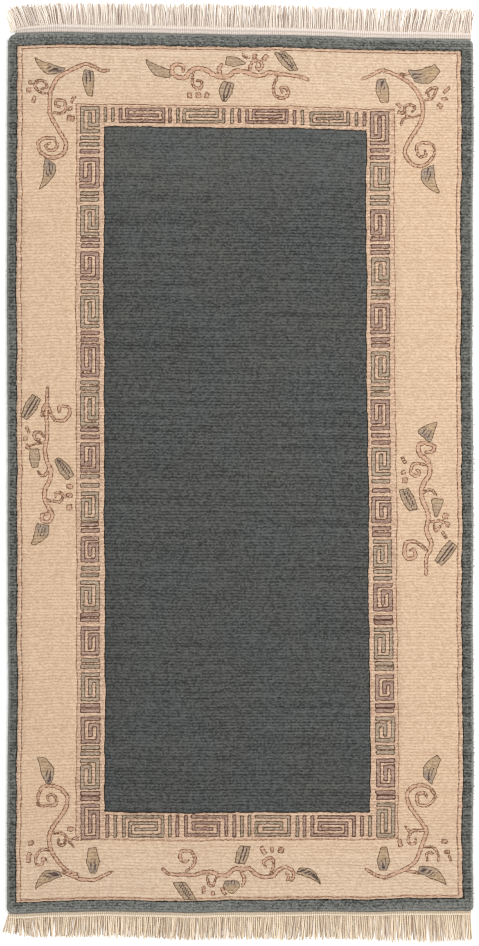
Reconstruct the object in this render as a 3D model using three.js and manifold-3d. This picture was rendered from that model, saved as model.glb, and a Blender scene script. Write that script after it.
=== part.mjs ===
// A hand-knotted wool rug with a cut warp fringe at both ends, lying flat on a floor.
// Millimetres: X runs across the rug, Y runs along it, and Z goes up from the floor.

import * as THREE from 'three';
import { mergeVertices } from 'three/addons/utils/BufferGeometryUtils.js';
import Module from 'manifold-3d';

const wasm = await Module();
wasm.setup();

// Driving dimensions of the knotted cloth
const halfWidth = 350;
const thickness = 12;
const sidePoints = 24;
const endPoints = 12;
const cornerSteps = 3;
const carvedCornerRadius = 1.5;

// Driving dimensions of the ends
const strandsPerEnd = 148;
const strandWidth = 2.6;
const strandHeight = 2.2;
const strandSteps = 4;
const tipTaper = 0.75;
const rootInsideWeb = 0.5;
const outermostRoot = 345.5;
const webHalfWidth = 347;
const webStations = 26;
const gapToCloth = 0.3;
const strandsInClump = 4;
const clumpPull = 0.9;
const lengthScatter = 3;
const leanScatter = 0.5;
const leanCurve = 1.4;

// How far each long edge stands out from its straight line
const sideRows = [
  { y: -645, leftBulge: 0.8, rightBulge: 0.5 },
  { y: -565, leftBulge: 0.7, rightBulge: -0.5 },
  { y: -445, leftBulge: 0.1, rightBulge: 1.1 },
  { y: -325, leftBulge: -1.3, rightBulge: 0.5 },
  { y: -205, leftBulge: -0.5, rightBulge: -0.4 },
  { y: -85, leftBulge: 0.1, rightBulge: 0.5 },
  { y: 35, leftBulge: -0.2, rightBulge: 0.2 },
  { y: 155, leftBulge: 0.4, rightBulge: -1.1 },
  { y: 275, leftBulge: 1.1, rightBulge: -0.4 },
  { y: 395, leftBulge: 0.2, rightBulge: -0.5 },
  { y: 515, leftBulge: 0.4, rightBulge: 1 },
  { y: 640, leftBulge: -0.5, rightBulge: 0 },
];

// Where the pile ends, far and near: the far end is cut askew
const endRows = [
  { x: -335, farEdge: 661, nearEdge: -662 },
  { x: -270, farEdge: 662.3, nearEdge: -659.5 },
  { x: -204, farEdge: 661, nearEdge: -658.2 },
  { x: -138, farEdge: 660.8, nearEdge: -659.3 },
  { x: -72, farEdge: 659.3, nearEdge: -660.8 },
  { x: -6, farEdge: 658, nearEdge: -659.3 },
  { x: 60, farEdge: 657.5, nearEdge: -659.3 },
  { x: 126, farEdge: 656, nearEdge: -658.5 },
  { x: 193, farEdge: 653.5, nearEdge: -659.3 },
  { x: 259, farEdge: 652.5, nearEdge: -657.8 },
  { x: 325, farEdge: 651.8, nearEdge: -657.8 },
];

// Rounded corners, in the order that an outline passes them: far left, near left, near right, far right
const cornerRows = [
  { signX: -1, signY: 1, radius: 16 },
  { signX: -1, signY: -1, radius: 7 },
  { signX: 1, signY: -1, radius: 6 },
  { signX: 1, signY: 1, radius: 9 },
];

// The outer side of the cloth, from the flat back up to the level of the pile
const edgeProfile = [
  { inset: 1.6, z: 0 },
  { inset: 0.3, z: 1.6 },
  { inset: 0, z: 4.5 },
  { inset: 0.2, z: 8.5 },
  { inset: 1.2, z: 10.8 },
  { inset: 3.6, z: thickness },
];

// Lines clipped into the pile, by their insets from the edges of the cloth
// The left and right insets run from the far end to the near end, the far and near ones from left to right
const carvedLines = [
  { width: 4, depth: 3, left: [13.3, 13.3], right: [17.2, 17.2], far: [18.3, 18.3], near: [15, 19.5] },
  { width: 2, depth: 0.8, left: [24.2, 24.2], right: [23, 23], far: [22.9, 22.9], near: [19.5, 24.7] },
  { width: 2, depth: 0.8, left: [104.9, 104.4], right: [118, 110.4], far: [107.8, 105.7], near: [105.2, 106.3] },
  { width: 3, depth: 1.2, left: [144.3, 149.1], right: [160, 152.3], far: [139.2, 136.2], near: [148.1, 148.1] },
];

// Web and fringe at the far end: depth of the web, reach of the strands past the pile and their lean to the right
const farRows = [
  { x: -346, web: 3.5, reach: 38.5, lean: -7 },
  { x: -323, web: 9, reach: 40.5, lean: -6.5 },
  { x: -300, web: 10.5, reach: 41, lean: -4.5 },
  { x: -270, web: 10.5, reach: 41.5, lean: -2.3 },
  { x: -240, web: 10.5, reach: 41, lean: 0 },
  { x: -203, web: 10, reach: 43.5, lean: -2 },
  { x: -153, web: 10, reach: 42.5, lean: 1.5 },
  { x: -90, web: 10, reach: 42, lean: -2.2 },
  { x: -50, web: 10, reach: 44, lean: 0.8 },
  { x: 40, web: 10, reach: 42.5, lean: 2 },
  { x: 75, web: 10, reach: 42, lean: -1 },
  { x: 135, web: 10, reach: 42, lean: 1 },
  { x: 195, web: 9, reach: 42, lean: 1.5 },
  { x: 245, web: 9, reach: 41, lean: 3 },
  { x: 290, web: 9, reach: 42.5, lean: 4.5 },
  { x: 346, web: 8, reach: 41, lean: 2.5 },
];

// The same at the near end
const nearRows = [
  { x: -346, web: 8, reach: 29, lean: -3 },
  { x: -325, web: 8, reach: 34, lean: 3 },
  { x: -312, web: 8, reach: 36, lean: 6 },
  { x: -290, web: 8, reach: 37.5, lean: 0 },
  { x: -255, web: 8, reach: 38, lean: -2.5 },
  { x: -180, web: 8, reach: 39, lean: -1.5 },
  { x: -60, web: 8, reach: 40, lean: -2.5 },
  { x: 30, web: 8, reach: 40.5, lean: -1.5 },
  { x: 75, web: 7, reach: 41.5, lean: -3 },
  { x: 130, web: 7, reach: 41, lean: 0 },
  { x: 200, web: 7, reach: 42, lean: 1 },
  { x: 240, web: 7, reach: 45.5, lean: -1.2 },
  { x: 290, web: 7, reach: 46, lean: 2.5 },
  { x: 323, web: 7, reach: 45, lean: 4 },
  { x: 346, web: 7, reach: 44, lean: 1.5 },
];

// Cross-section of the flat-woven web: two ribs of weft with a furrow between them
const webProfile = [
  { across: 0, z: 0 },
  { across: 0, z: 2.7 },
  { across: 0.3, z: 3 },
  { across: 0.5, z: 2.3 },
  { across: 0.7, z: 3 },
  { across: 1, z: 2.4 },
  { across: 1, z: 0 },
];

const ends = [
  { node: 'fringe_far', edge: 'farEdge', outward: 1, rows: farRows, seed: 11 },
  { node: 'fringe_near', edge: 'nearEdge', outward: -1, rows: nearRows, seed: 29 },
];

const pileWool = new THREE.MeshStandardMaterial({ color: 0x525451, roughness: 0.95, metalness: 0 });
const fringeCotton = new THREE.MeshStandardMaterial({ color: 0xe2d3c1, roughness: 0.9, metalness: 0 });

// A column of a table at a place between its rows, eased from one row to the next
function readTable(rows, key, at, column) {
  const next = rows.findIndex((row) => row[key] > at);
  if (next === 0) return rows[0][column];
  if (next < 0) return rows.at(-1)[column];
  const from = rows[next - 1];
  const to = rows[next];
  return THREE.MathUtils.lerp(from[column], to[column], THREE.MathUtils.smoothstep(at, from[key], to[key]));
}

// Evenly spread values from 0 to 1, the same ones each time
function makeRandom(seed) {
  const factor = 16807;
  const modulus = 2147483647;
  let state = seed;
  return () => {
    state = (state * factor) % modulus;
    return state / modulus;
  };
}

const edges = {
  left: (y) => -halfWidth - readTable(sideRows, 'y', y, 'leftBulge'),
  right: (y) => halfWidth + readTable(sideRows, 'y', y, 'rightBulge'),
  far: (x) => readTable(endRows, 'x', x, 'farEdge'),
  near: (x) => readTable(endRows, 'x', x, 'nearEdge'),
};

function evenInset(distance) {
  const pair = [distance, distance];
  return { left: pair, right: pair, far: pair, near: pair };
}

// The inset of a carved line, moved towards the middle of the rug
function movedInset(line, distance) {
  const moved = (pair) => pair.map((value) => value + distance);
  return { left: moved(line.left), right: moved(line.right), far: moved(line.far), near: moved(line.near) };
}

// Corner of an outline before it is rounded
function sharpCorner(inset, { signX, signY }) {
  const alongSide = signY > 0 ? 0 : 1;
  const alongEnd = signX < 0 ? 0 : 1;
  const side = signX < 0 ? 'left' : 'right';
  const end = signY > 0 ? 'far' : 'near';
  const y = edges[end](signX * halfWidth) - signY * inset[end][alongEnd];
  const x = edges[side](y) - signX * inset[side][alongSide];
  return { x, y };
}

// One closed outline of the cloth at a height, inset from the edges
function outline(inset, roundCorner, z) {
  const corners = cornerRows.map((row) => sharpCorner(inset, row));
  const [farLeft, nearLeft, nearRight, farRight] = corners;
  const arcs = cornerRows.map((row, i) => {
    const radius = roundCorner(row);
    const centreX = corners[i].x - row.signX * radius;
    const centreY = corners[i].y - row.signY * radius;
    const start = (i + 1) * Math.PI / 2;
    return Array.from({ length: cornerSteps + 1 }, (unused, step) => {
      const angle = start + (step / cornerSteps) * Math.PI / 2;
      return new THREE.Vector3(centreX + radius * Math.cos(angle), centreY + radius * Math.sin(angle), z);
    });
  });
  const between = (count, place) => (
    Array.from({ length: count }, (unused, i) => place((i + 1) / (count + 1)))
  );
  const along = THREE.MathUtils.lerp;
  const leftSide = between(sidePoints, (t) => {
    const y = along(arcs[0].at(-1).y, arcs[1][0].y, t);
    const depth = along(...inset.left, (farLeft.y - y) / (farLeft.y - nearLeft.y));
    return new THREE.Vector3(edges.left(y) + depth, y, z);
  });
  const nearEnd = between(endPoints, (t) => {
    const x = along(arcs[1].at(-1).x, arcs[2][0].x, t);
    const depth = along(...inset.near, (x - nearLeft.x) / (nearRight.x - nearLeft.x));
    return new THREE.Vector3(x, edges.near(x) + depth, z);
  });
  const rightSide = between(sidePoints, (t) => {
    const y = along(arcs[2].at(-1).y, arcs[3][0].y, t);
    const depth = along(...inset.right, (farRight.y - y) / (farRight.y - nearRight.y));
    return new THREE.Vector3(edges.right(y) - depth, y, z);
  });
  const farEnd = between(endPoints, (t) => {
    const x = along(arcs[3].at(-1).x, arcs[0][0].x, t);
    const depth = along(...inset.far, (x - farLeft.x) / (farRight.x - farLeft.x));
    return new THREE.Vector3(x, edges.far(x) - depth, z);
  });
  return [...arcs[0], ...leftSide, ...arcs[1], ...nearEnd, ...arcs[2], ...rightSide, ...arcs[3], ...farEnd];
}

// Triangles that fill a flat outline, turning the way the outline does
function fillOutline(flat) {
  const faces = THREE.ShapeUtils.triangulateShape(flat, []);
  const first = faces[0].map((corner) => flat[corner]);
  const sameWay = THREE.ShapeUtils.area(first) * THREE.ShapeUtils.area(flat) > 0;
  return sameWay ? faces : faces.map(([a, b, c]) => [a, c, b]);
}

// Closed body through a row of sections with the same number of points, its first and last sections filled
function skinSections(sections, flatten) {
  const count = sections[0].length;
  const lastStart = (sections.length - 1) * count;
  const faces = [];
  for (let start = 0; start < lastStart; start += count) {
    for (let i = 0; i < count; i += 1) {
      const next = (i + 1) % count;
      faces.push([start + i, start + next, start + count + next]);
      faces.push([start + i, start + count + next, start + count + i]);
    }
  }
  const firstCap = fillOutline(sections[0].map(flatten));
  const lastCap = fillOutline(sections.at(-1).map(flatten));
  firstCap.forEach(([a, b, c]) => faces.push([a, c, b]));
  lastCap.forEach(([a, b, c]) => faces.push([lastStart + a, lastStart + b, lastStart + c]));
  const points = sections.flat();
  const volume = faces.reduce((sum, [a, b, c]) => {
    const normal = new THREE.Vector3().crossVectors(points[b], points[c]);
    return sum + points[a].dot(normal);
  }, 0);
  const outward = volume > 0 ? faces : faces.map(([a, b, c]) => [a, c, b]);
  const geometry = new THREE.BufferGeometry().setFromPoints(points);
  geometry.setIndex(outward.flat());
  return geometry;
}

function toManifold(geometry) {
  const merged = mergeVertices(geometry);
  const vertProperties = new Float32Array(merged.attributes.position.array);
  const triVerts = new Uint32Array(merged.index.array);
  return new wasm.Manifold(new wasm.Mesh({ numProp: 3, vertProperties, triVerts }));
}

function toGeometry(solid) {
  const mesh = solid.getMesh();
  const geometry = new THREE.BufferGeometry();
  geometry.setAttribute('position', new THREE.Float32BufferAttribute(mesh.vertProperties, 3));
  geometry.setIndex(Array.from(mesh.triVerts));
  return geometry;
}

function makeMesh(name, geometry, material) {
  geometry.computeVertexNormals();
  const mesh = new THREE.Mesh(geometry, material);
  mesh.name = name;
  return mesh;
}

// The knotted cloth: back, rounded edges, carved lines and the open field
function makeCloth() {
  const sides = edgeProfile.map(({ inset, z }) => (
    outline(evenInset(inset), (row) => Math.max(row.radius - inset, carvedCornerRadius), z)
  ));
  const sharp = () => carvedCornerRadius;
  const carving = carvedLines.flatMap((line) => [
    outline(movedInset(line, -line.width / 2), sharp, thickness),
    outline(movedInset(line, 0), sharp, thickness - line.depth),
    outline(movedInset(line, line.width / 2), sharp, thickness),
  ]);
  const geometry = skinSections([...sides, ...carving], (p) => new THREE.Vector2(p.x, p.y));
  return makeMesh('pile_field', geometry, pileWool);
}

// The narrow flat-woven web that lies against the end of the cloth
function makeWeb(end) {
  const stations = Array.from({ length: webStations + 1 }, (unused, i) => (
    THREE.MathUtils.lerp(-webHalfWidth, webHalfWidth, i / webStations)
  ));
  const sections = stations.map((x) => {
    const start = readTable(endRows, 'x', x, end.edge) + end.outward * gapToCloth;
    const depth = readTable(end.rows, 'x', x, 'web');
    return webProfile.map(({ across, z }) => new THREE.Vector3(x, start + end.outward * across * depth, z));
  });
  return skinSections(sections, (p) => new THREE.Vector2(p.y, p.z));
}

// One strand of the fringe, three-sided and flat on the floor, from inside the web to its tip
function makeStrand(end, rootX, tipShift, reach) {
  const edgeY = readTable(endRows, 'x', rootX, end.edge) + end.outward * gapToCloth;
  const webDepth = readTable(end.rows, 'x', rootX, 'web');
  const rootOut = rootInsideWeb * webDepth;
  const sections = Array.from({ length: strandSteps + 1 }, (unused, step) => {
    const t = step / strandSteps;
    const size = THREE.MathUtils.lerp(1, tipTaper, t);
    const x = rootX + tipShift * t ** leanCurve;
    const y = edgeY + end.outward * THREE.MathUtils.lerp(rootOut, reach, t);
    return [
      new THREE.Vector3(x - size * strandWidth / 2, y, 0),
      new THREE.Vector3(x + size * strandWidth / 2, y, 0),
      new THREE.Vector3(x, y, size * strandHeight),
    ];
  });
  return skinSections(sections, (p) => new THREE.Vector2(p.x, p.z));
}

// One end of the rug: its web with all the strands fused into it
function makeEnd(end) {
  const random = makeRandom(end.seed);
  const scatter = (spread) => (random() - 0.5) * spread;
  const clumpMiddle = (strandsInClump - 1) / 2;
  let solid = toManifold(makeWeb(end));
  for (let i = 0; i < strandsPerEnd; i += 1) {
    const rootX = THREE.MathUtils.lerp(-outermostRoot, outermostRoot, i / (strandsPerEnd - 1));
    const inward = 1 - (i % strandsInClump) / clumpMiddle;
    const lean = readTable(end.rows, 'x', rootX, 'lean');
    const tipShift = lean + inward * clumpPull + scatter(leanScatter);
    const reach = readTable(end.rows, 'x', rootX, 'reach') + scatter(lengthScatter);
    solid = solid.add(toManifold(makeStrand(end, rootX, tipShift, reach)));
  }
  return makeMesh(end.node, toGeometry(solid), fringeCotton);
}

const rug = new THREE.Group();
rug.add(makeCloth());
ends.forEach((end) => rug.add(makeEnd(end)));

// The middle of the rug's box on the floor is the origin
const middle = new THREE.Box3().setFromObject(rug).getCenter(new THREE.Vector3());
rug.children.forEach((mesh) => mesh.geometry.translate(-middle.x, -middle.y, 0));

export default rug;
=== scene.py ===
# A hand-knotted Tibetan wool rug laid flat: open slate field, key-fret border, vine sprigs and warp fringes
# Sizes are in millimetres until a mesh is made; X runs across the rug, Y along it to the far end and Z up

import math
import bpy
import numpy as np
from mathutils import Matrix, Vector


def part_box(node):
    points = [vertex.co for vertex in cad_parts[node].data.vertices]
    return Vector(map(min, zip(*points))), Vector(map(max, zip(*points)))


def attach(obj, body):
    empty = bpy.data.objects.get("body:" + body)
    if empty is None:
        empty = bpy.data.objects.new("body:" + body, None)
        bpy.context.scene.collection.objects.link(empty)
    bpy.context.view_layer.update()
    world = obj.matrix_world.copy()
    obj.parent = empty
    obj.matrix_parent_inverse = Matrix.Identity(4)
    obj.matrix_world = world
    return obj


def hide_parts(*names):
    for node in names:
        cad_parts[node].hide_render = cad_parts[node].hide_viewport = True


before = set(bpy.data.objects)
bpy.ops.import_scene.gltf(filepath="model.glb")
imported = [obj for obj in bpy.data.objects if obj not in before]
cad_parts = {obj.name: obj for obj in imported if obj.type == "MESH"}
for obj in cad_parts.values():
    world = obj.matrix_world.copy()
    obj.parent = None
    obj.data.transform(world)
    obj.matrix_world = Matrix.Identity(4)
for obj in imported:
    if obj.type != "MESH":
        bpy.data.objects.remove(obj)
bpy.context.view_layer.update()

millimetre = 0.001


# A column of a table at a place between its rows, eased from one row to the next
def readTable(rows, column, at):
    places = np.array([row[0] for row in rows], float)
    values = np.array([row[column] for row in rows], float)
    at = np.clip(at, places[0], places[-1])
    before = np.clip(np.searchsorted(places, at, side="right") - 1, 0, len(rows) - 2)
    share = (at - places[before]) / (places[before + 1] - places[before])
    share = share * share * (3 - 2 * share)
    return values[before] + share * (values[before + 1] - values[before])


# Slow waves that never line up, from -1 to 1, with wavelengths between two lengths
def slowWaves(along, beside, shortest, longest, seed, count=5):
    random = np.random.default_rng(seed)
    total = 0
    for wavelength in np.geomspace(shortest, longest, count):
        phase, drift = random.uniform(0, 2 * math.pi), random.uniform(0.15, 0.45)
        total = total + np.sin(2 * math.pi * (along + drift * beside) / wavelength + phase)
    return total / (0.75 * count)


def newPiece(name, points, faces):
    mesh = bpy.data.meshes.new(name)
    mesh.from_pydata((np.asarray(points, float) * millimetre).tolist(), [], faces)
    mesh.validate()
    mesh.polygons.foreach_set("use_smooth", [True] * len(mesh.polygons))
    piece = bpy.data.objects.new(name, mesh)
    bpy.context.scene.collection.objects.link(piece)
    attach(piece, "root")
    return piece


def giveAttribute(piece, name, values):
    values = np.asarray(values, np.float32)
    kind, field = ("FLOAT", "value") if values.ndim == 1 else ("FLOAT_VECTOR", "vector")
    attribute = piece.data.attributes.new(name, kind, "POINT")
    attribute.data.foreach_set(field, values.ravel())


def toLinear(hexColour):
    channels = [int(hexColour[i:i + 2], 16) / 255 for i in (1, 3, 5)]
    linear = [c / 12.92 if c <= 0.04045 else ((c + 0.055) / 1.055) ** 2.4 for c in channels]
    return (*linear, 1)


# Adds a node; a socket given in its place is linked and a value is set
def addNode(tree, kind, inputs=None, **settings):
    node = tree.nodes.new(kind)
    for name, value in settings.items():
        setattr(node, name, value)
    for socket, value in (inputs or {}).items():
        if isinstance(value, bpy.types.NodeSocket):
            tree.links.new(value, node.inputs[socket])
        else:
            node.inputs[socket].default_value = value
    return node


# The knotted cloth

cloth = {
    "halfWidth": 350,
    "thickness": 12,
    # y, and how far the left and the right edge stand out from a straight line there
    "sides": [
        (-645, 0.8, 0.5), (-565, 0.7, -0.5), (-445, 0.1, 1.1), (-325, -1.3, 0.5), (-205, -0.5, -0.4),
        (-85, 0.1, 0.5), (35, -0.2, 0.2), (155, 0.4, -1.1), (275, 1.1, -0.4), (395, 0.2, -0.5),
        (515, 0.4, 1), (640, -0.5, 0),
    ],
    # x, and where the pile ends at the far and at the near end; the far end is cut askew
    "ends": [
        (-335, 661, -662), (-270, 662.3, -659.5), (-204, 661, -658.2), (-138, 660.8, -659.3),
        (-72, 659.3, -660.8), (-6, 658, -659.3), (60, 657.5, -659.3), (126, 656, -658.5),
        (193, 653.5, -659.3), (259, 652.5, -657.8), (325, 651.8, -657.8),
    ],
    "cornerRadius": {(-1, 1): 16, (-1, -1): 7, (1, -1): 6, (1, 1): 9},
    # inset and height of the cut side, going up and going down to the back
    "roundedEdge": [(0, 4.5), (0.2, 8.5), (1.2, 10.8), (3.6, 12)],
    "underEdge": [(0.3, 1.6), (1.6, 0)],
    "coarseCell": 14,  # fine cells in one coarse cell, where the field has no pattern
    "ribHeight": 0.28,
    "swell": 0.25,  # slow rise and fall of the pile
    "lineWander": 1.1,  # how far a line strays from straight
    "rowWander": 0.8,
}

# Lines where the yarn changes, by their insets from the edges of the cloth, each clipped into the pile
# Left and right insets run from the far end to the near end, far and near ones from left to right
borderLines = {
    "slateLine": {"width": 4, "depth": 3,
                  "left": (14.2, 13.4), "right": (18.2, 15.6), "far": (18, 17.3), "near": (15.3, 18.3)},
    "guardLine": {"width": 2, "depth": 0.8,
                  "left": (22.2, 20.3), "right": (24.6, 22.9), "far": (22.9, 22.1), "near": (19.4, 22.7)},
    "bandLine": {"width": 2, "depth": 0.8,
                 "left": (104.2, 103.2), "right": (120, 111.8), "far": (107.8, 106.1),
                 "near": (106.8, 108.4)},
    "fieldLine": {"width": 3, "depth": 1.2,
                  "left": (145.8, 146.6), "right": (162.5, 154.2), "far": (141.4, 138.6),
                  "near": (149.5, 149.3)},
}

# Fine cells in each gap between the rounded edge and the lines, and how many of them make a coarse cell
gapCells = {
    "left": {3: (3, 1), 6: (2, 1), 9: (35, 5), 12: (18, 1)},
    "right": {3: (3, 1), 6: (2, 1), 9: (40, 5), 12: (18, 1)},
    "far": {3: (6, 1), 9: (36, 1), 12: (13, 1)},
    "near": {3: (5, 1), 9: (36, 1), 12: (18, 1)},
}
fieldColumns = 170
fieldRows = 446  # knot rows of about 2.3 mm, two to a rib


def leftEdge(y):
    return -cloth["halfWidth"] - readTable(cloth["sides"], 1, y)


def rightEdge(y):
    return cloth["halfWidth"] + readTable(cloth["sides"], 2, y)


def farEdge(x):
    return readTable(cloth["ends"], 1, x)


def nearEdge(x):
    return readTable(cloth["ends"], 2, x)


# Grid lines from one edge of the cloth in to the field, as insets at the line's two ends
def gridLines(side):
    levels = [(inset, inset) for inset, height in cloth["roundedEdge"]]
    for line in borderLines.values():
        levels += [tuple(inset + shift for inset in line[side])
                   for shift in (-line["width"] / 2, 0, line["width"] / 2)]
    lines, coarse = [levels[0]], [True]
    for gap, (low, high) in enumerate(zip(levels, levels[1:])):
        count, step = gapCells[side].get(gap, (1, 1))
        for k in range(1, count + 1):
            lines.append(tuple(a + (b - a) * k / count for a, b in zip(low, high)))
            coarse.append(k % step == 0)
    return np.array(lines), coarse


def alongPair(pair, share):
    return pair[0] + (pair[1] - pair[0]) * share


print("rug: laying out the knot rows")
leftLines, leftCoarse = gridLines("left")
rightLines, rightCoarse = gridLines("right")
farLines, nearLines = [gridLines(end)[0] for end in ("far", "near")]

# Every column at a rough x first, then the rows at their y there, and last the columns at their true x
fieldShare = np.arange(1, fieldColumns) / fieldColumns
roughLeft = leftLines.mean(1) - cloth["halfWidth"]
roughRight = cloth["halfWidth"] - rightLines.mean(1)[::-1]
roughField = roughLeft[-1] + (roughRight[0] - roughLeft[-1]) * fieldShare
roughX = np.concatenate([roughLeft, roughField, roughRight])
acrossShare = (roughX + cloth["halfWidth"]) / (2 * cloth["halfWidth"])
farRows = farEdge(roughX) - alongPair(farLines.T[:, :, None], acrossShare)
nearRows = nearEdge(roughX) + alongPair(nearLines.T[:, :, None], acrossShare)
rowShare = (np.arange(1, fieldRows) / fieldRows)[:, None]
middleRows = nearRows[-1] + (farRows[-1] - nearRows[-1]) * rowShare
gridY = np.vstack([nearRows, middleRows, farRows[::-1]])
downShare = (gridY[-1] - gridY) / (gridY[-1] - gridY[0])
leftX = (leftEdge(gridY)[:, :len(leftLines)]
         + alongPair(leftLines.T[:, None, :], downShare[:, :len(leftLines)]))
rightX = (rightEdge(gridY)[:, -len(rightLines):]
          - alongPair(rightLines[::-1].T[:, None, :], downShare[:, -len(rightLines):]))
middleX = leftX[:, -1:] + (rightX[:, :1] - leftX[:, -1:]) * fieldShare
gridX = np.hstack([leftX, middleX, rightX])
rows, columns = gridX.shape
fieldCoarse = [(i + 1) % cloth["coarseCell"] == 0 for i in range(fieldColumns - 1)]
isCoarse = np.array(leftCoarse + fieldCoarse + rightCoarse[::-1])

# How far each point lies inside each line, before the cloth is pulled about
fromLeft = gridX - leftEdge(gridY)
fromRight = rightEdge(gridY) - gridX
fromFar = farEdge(gridX) - gridY
fromNear = gridY - nearEdge(gridX)
insideLine = {
    name: np.minimum.reduce([
        fromLeft - alongPair(line["left"], downShare),
        fromRight - alongPair(line["right"], downShare),
        fromFar - alongPair(line["far"], acrossShare[None, :]),
        fromNear - alongPair(line["near"], acrossShare[None, :]),
    ])
    for name, line in borderLines.items()
}

# Heights: rounded edges, clipped lines, ribs of two knot rows each and a slow swell
ring = np.minimum.reduce(np.broadcast_arrays(
    np.arange(columns)[None, :], np.arange(columns)[None, ::-1],
    np.arange(rows)[:, None], np.arange(rows)[::-1, None],
))
ringHeights = np.array([height for inset, height in cloth["roundedEdge"]])
gridZ = ringHeights[np.minimum(ring, len(ringHeights) - 1)]
onPile = ring >= len(ringHeights) - 1
ribSide = np.where(np.arange(rows) % 2 == 0, 1, -1)[:, None]
uneven = 1 + 0.6 * slowWaves(gridX, gridY, 14, 60, 3)
gridZ = gridZ + onPile * (cloth["ribHeight"] * (ribSide * uneven - 1)
                          + cloth["swell"] * (slowWaves(gridY, gridX, 70, 400, 4) - 1))
for name, line in borderLines.items():
    cut = np.clip(1 - np.abs(insideLine[name]) / (line["width"] / 2), 0, 1)
    gridZ = gridZ - line["depth"] * cut

# The cloth is pulled about a little by its making: lines stray and rows wave, most of all inside
edgeDistance = np.minimum.reduce([fromLeft, fromRight, fromFar, fromNear])
calm = np.clip(edgeDistance / 12, 0, 1)
pulledX = gridX + calm * cloth["lineWander"] * slowWaves(gridY, gridX, 35, 300, 5)
pulledY = gridY + calm * cloth["rowWander"] * slowWaves(gridX, gridY, 25, 260, 6)

# Corners of the cloth are rounded by drawing the square corner in to a quarter circle
for (signX, signY), radius in cloth["cornerRadius"].items():
    a = 1 - (fromLeft if signX < 0 else fromRight) / radius
    b = 1 - (fromFar if signY > 0 else fromNear) / radius
    corner = (a > 0) & (b > 0)
    roundA = a * np.sqrt(np.clip(1 - b * b / 2, 0, 1))
    roundB = b * np.sqrt(np.clip(1 - a * a / 2, 0, 1))
    pulledX = pulledX + np.where(corner, signX * (roundA - a) * radius, 0)
    pulledY = pulledY + np.where(corner, signY * (roundB - b) * radius, 0)


# The design, in pixels of the photo as read off enlargements of it, counted from its far left corner
# The vines, the leaves, the buds and the places of the fret's strokes are traced stroke by stroke

pixelSize = 1.5035  # mm of rug to one pixel
middlePixel = (239.85, 472.5)  # pixels, where the middle of the rug lies in the photo

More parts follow.
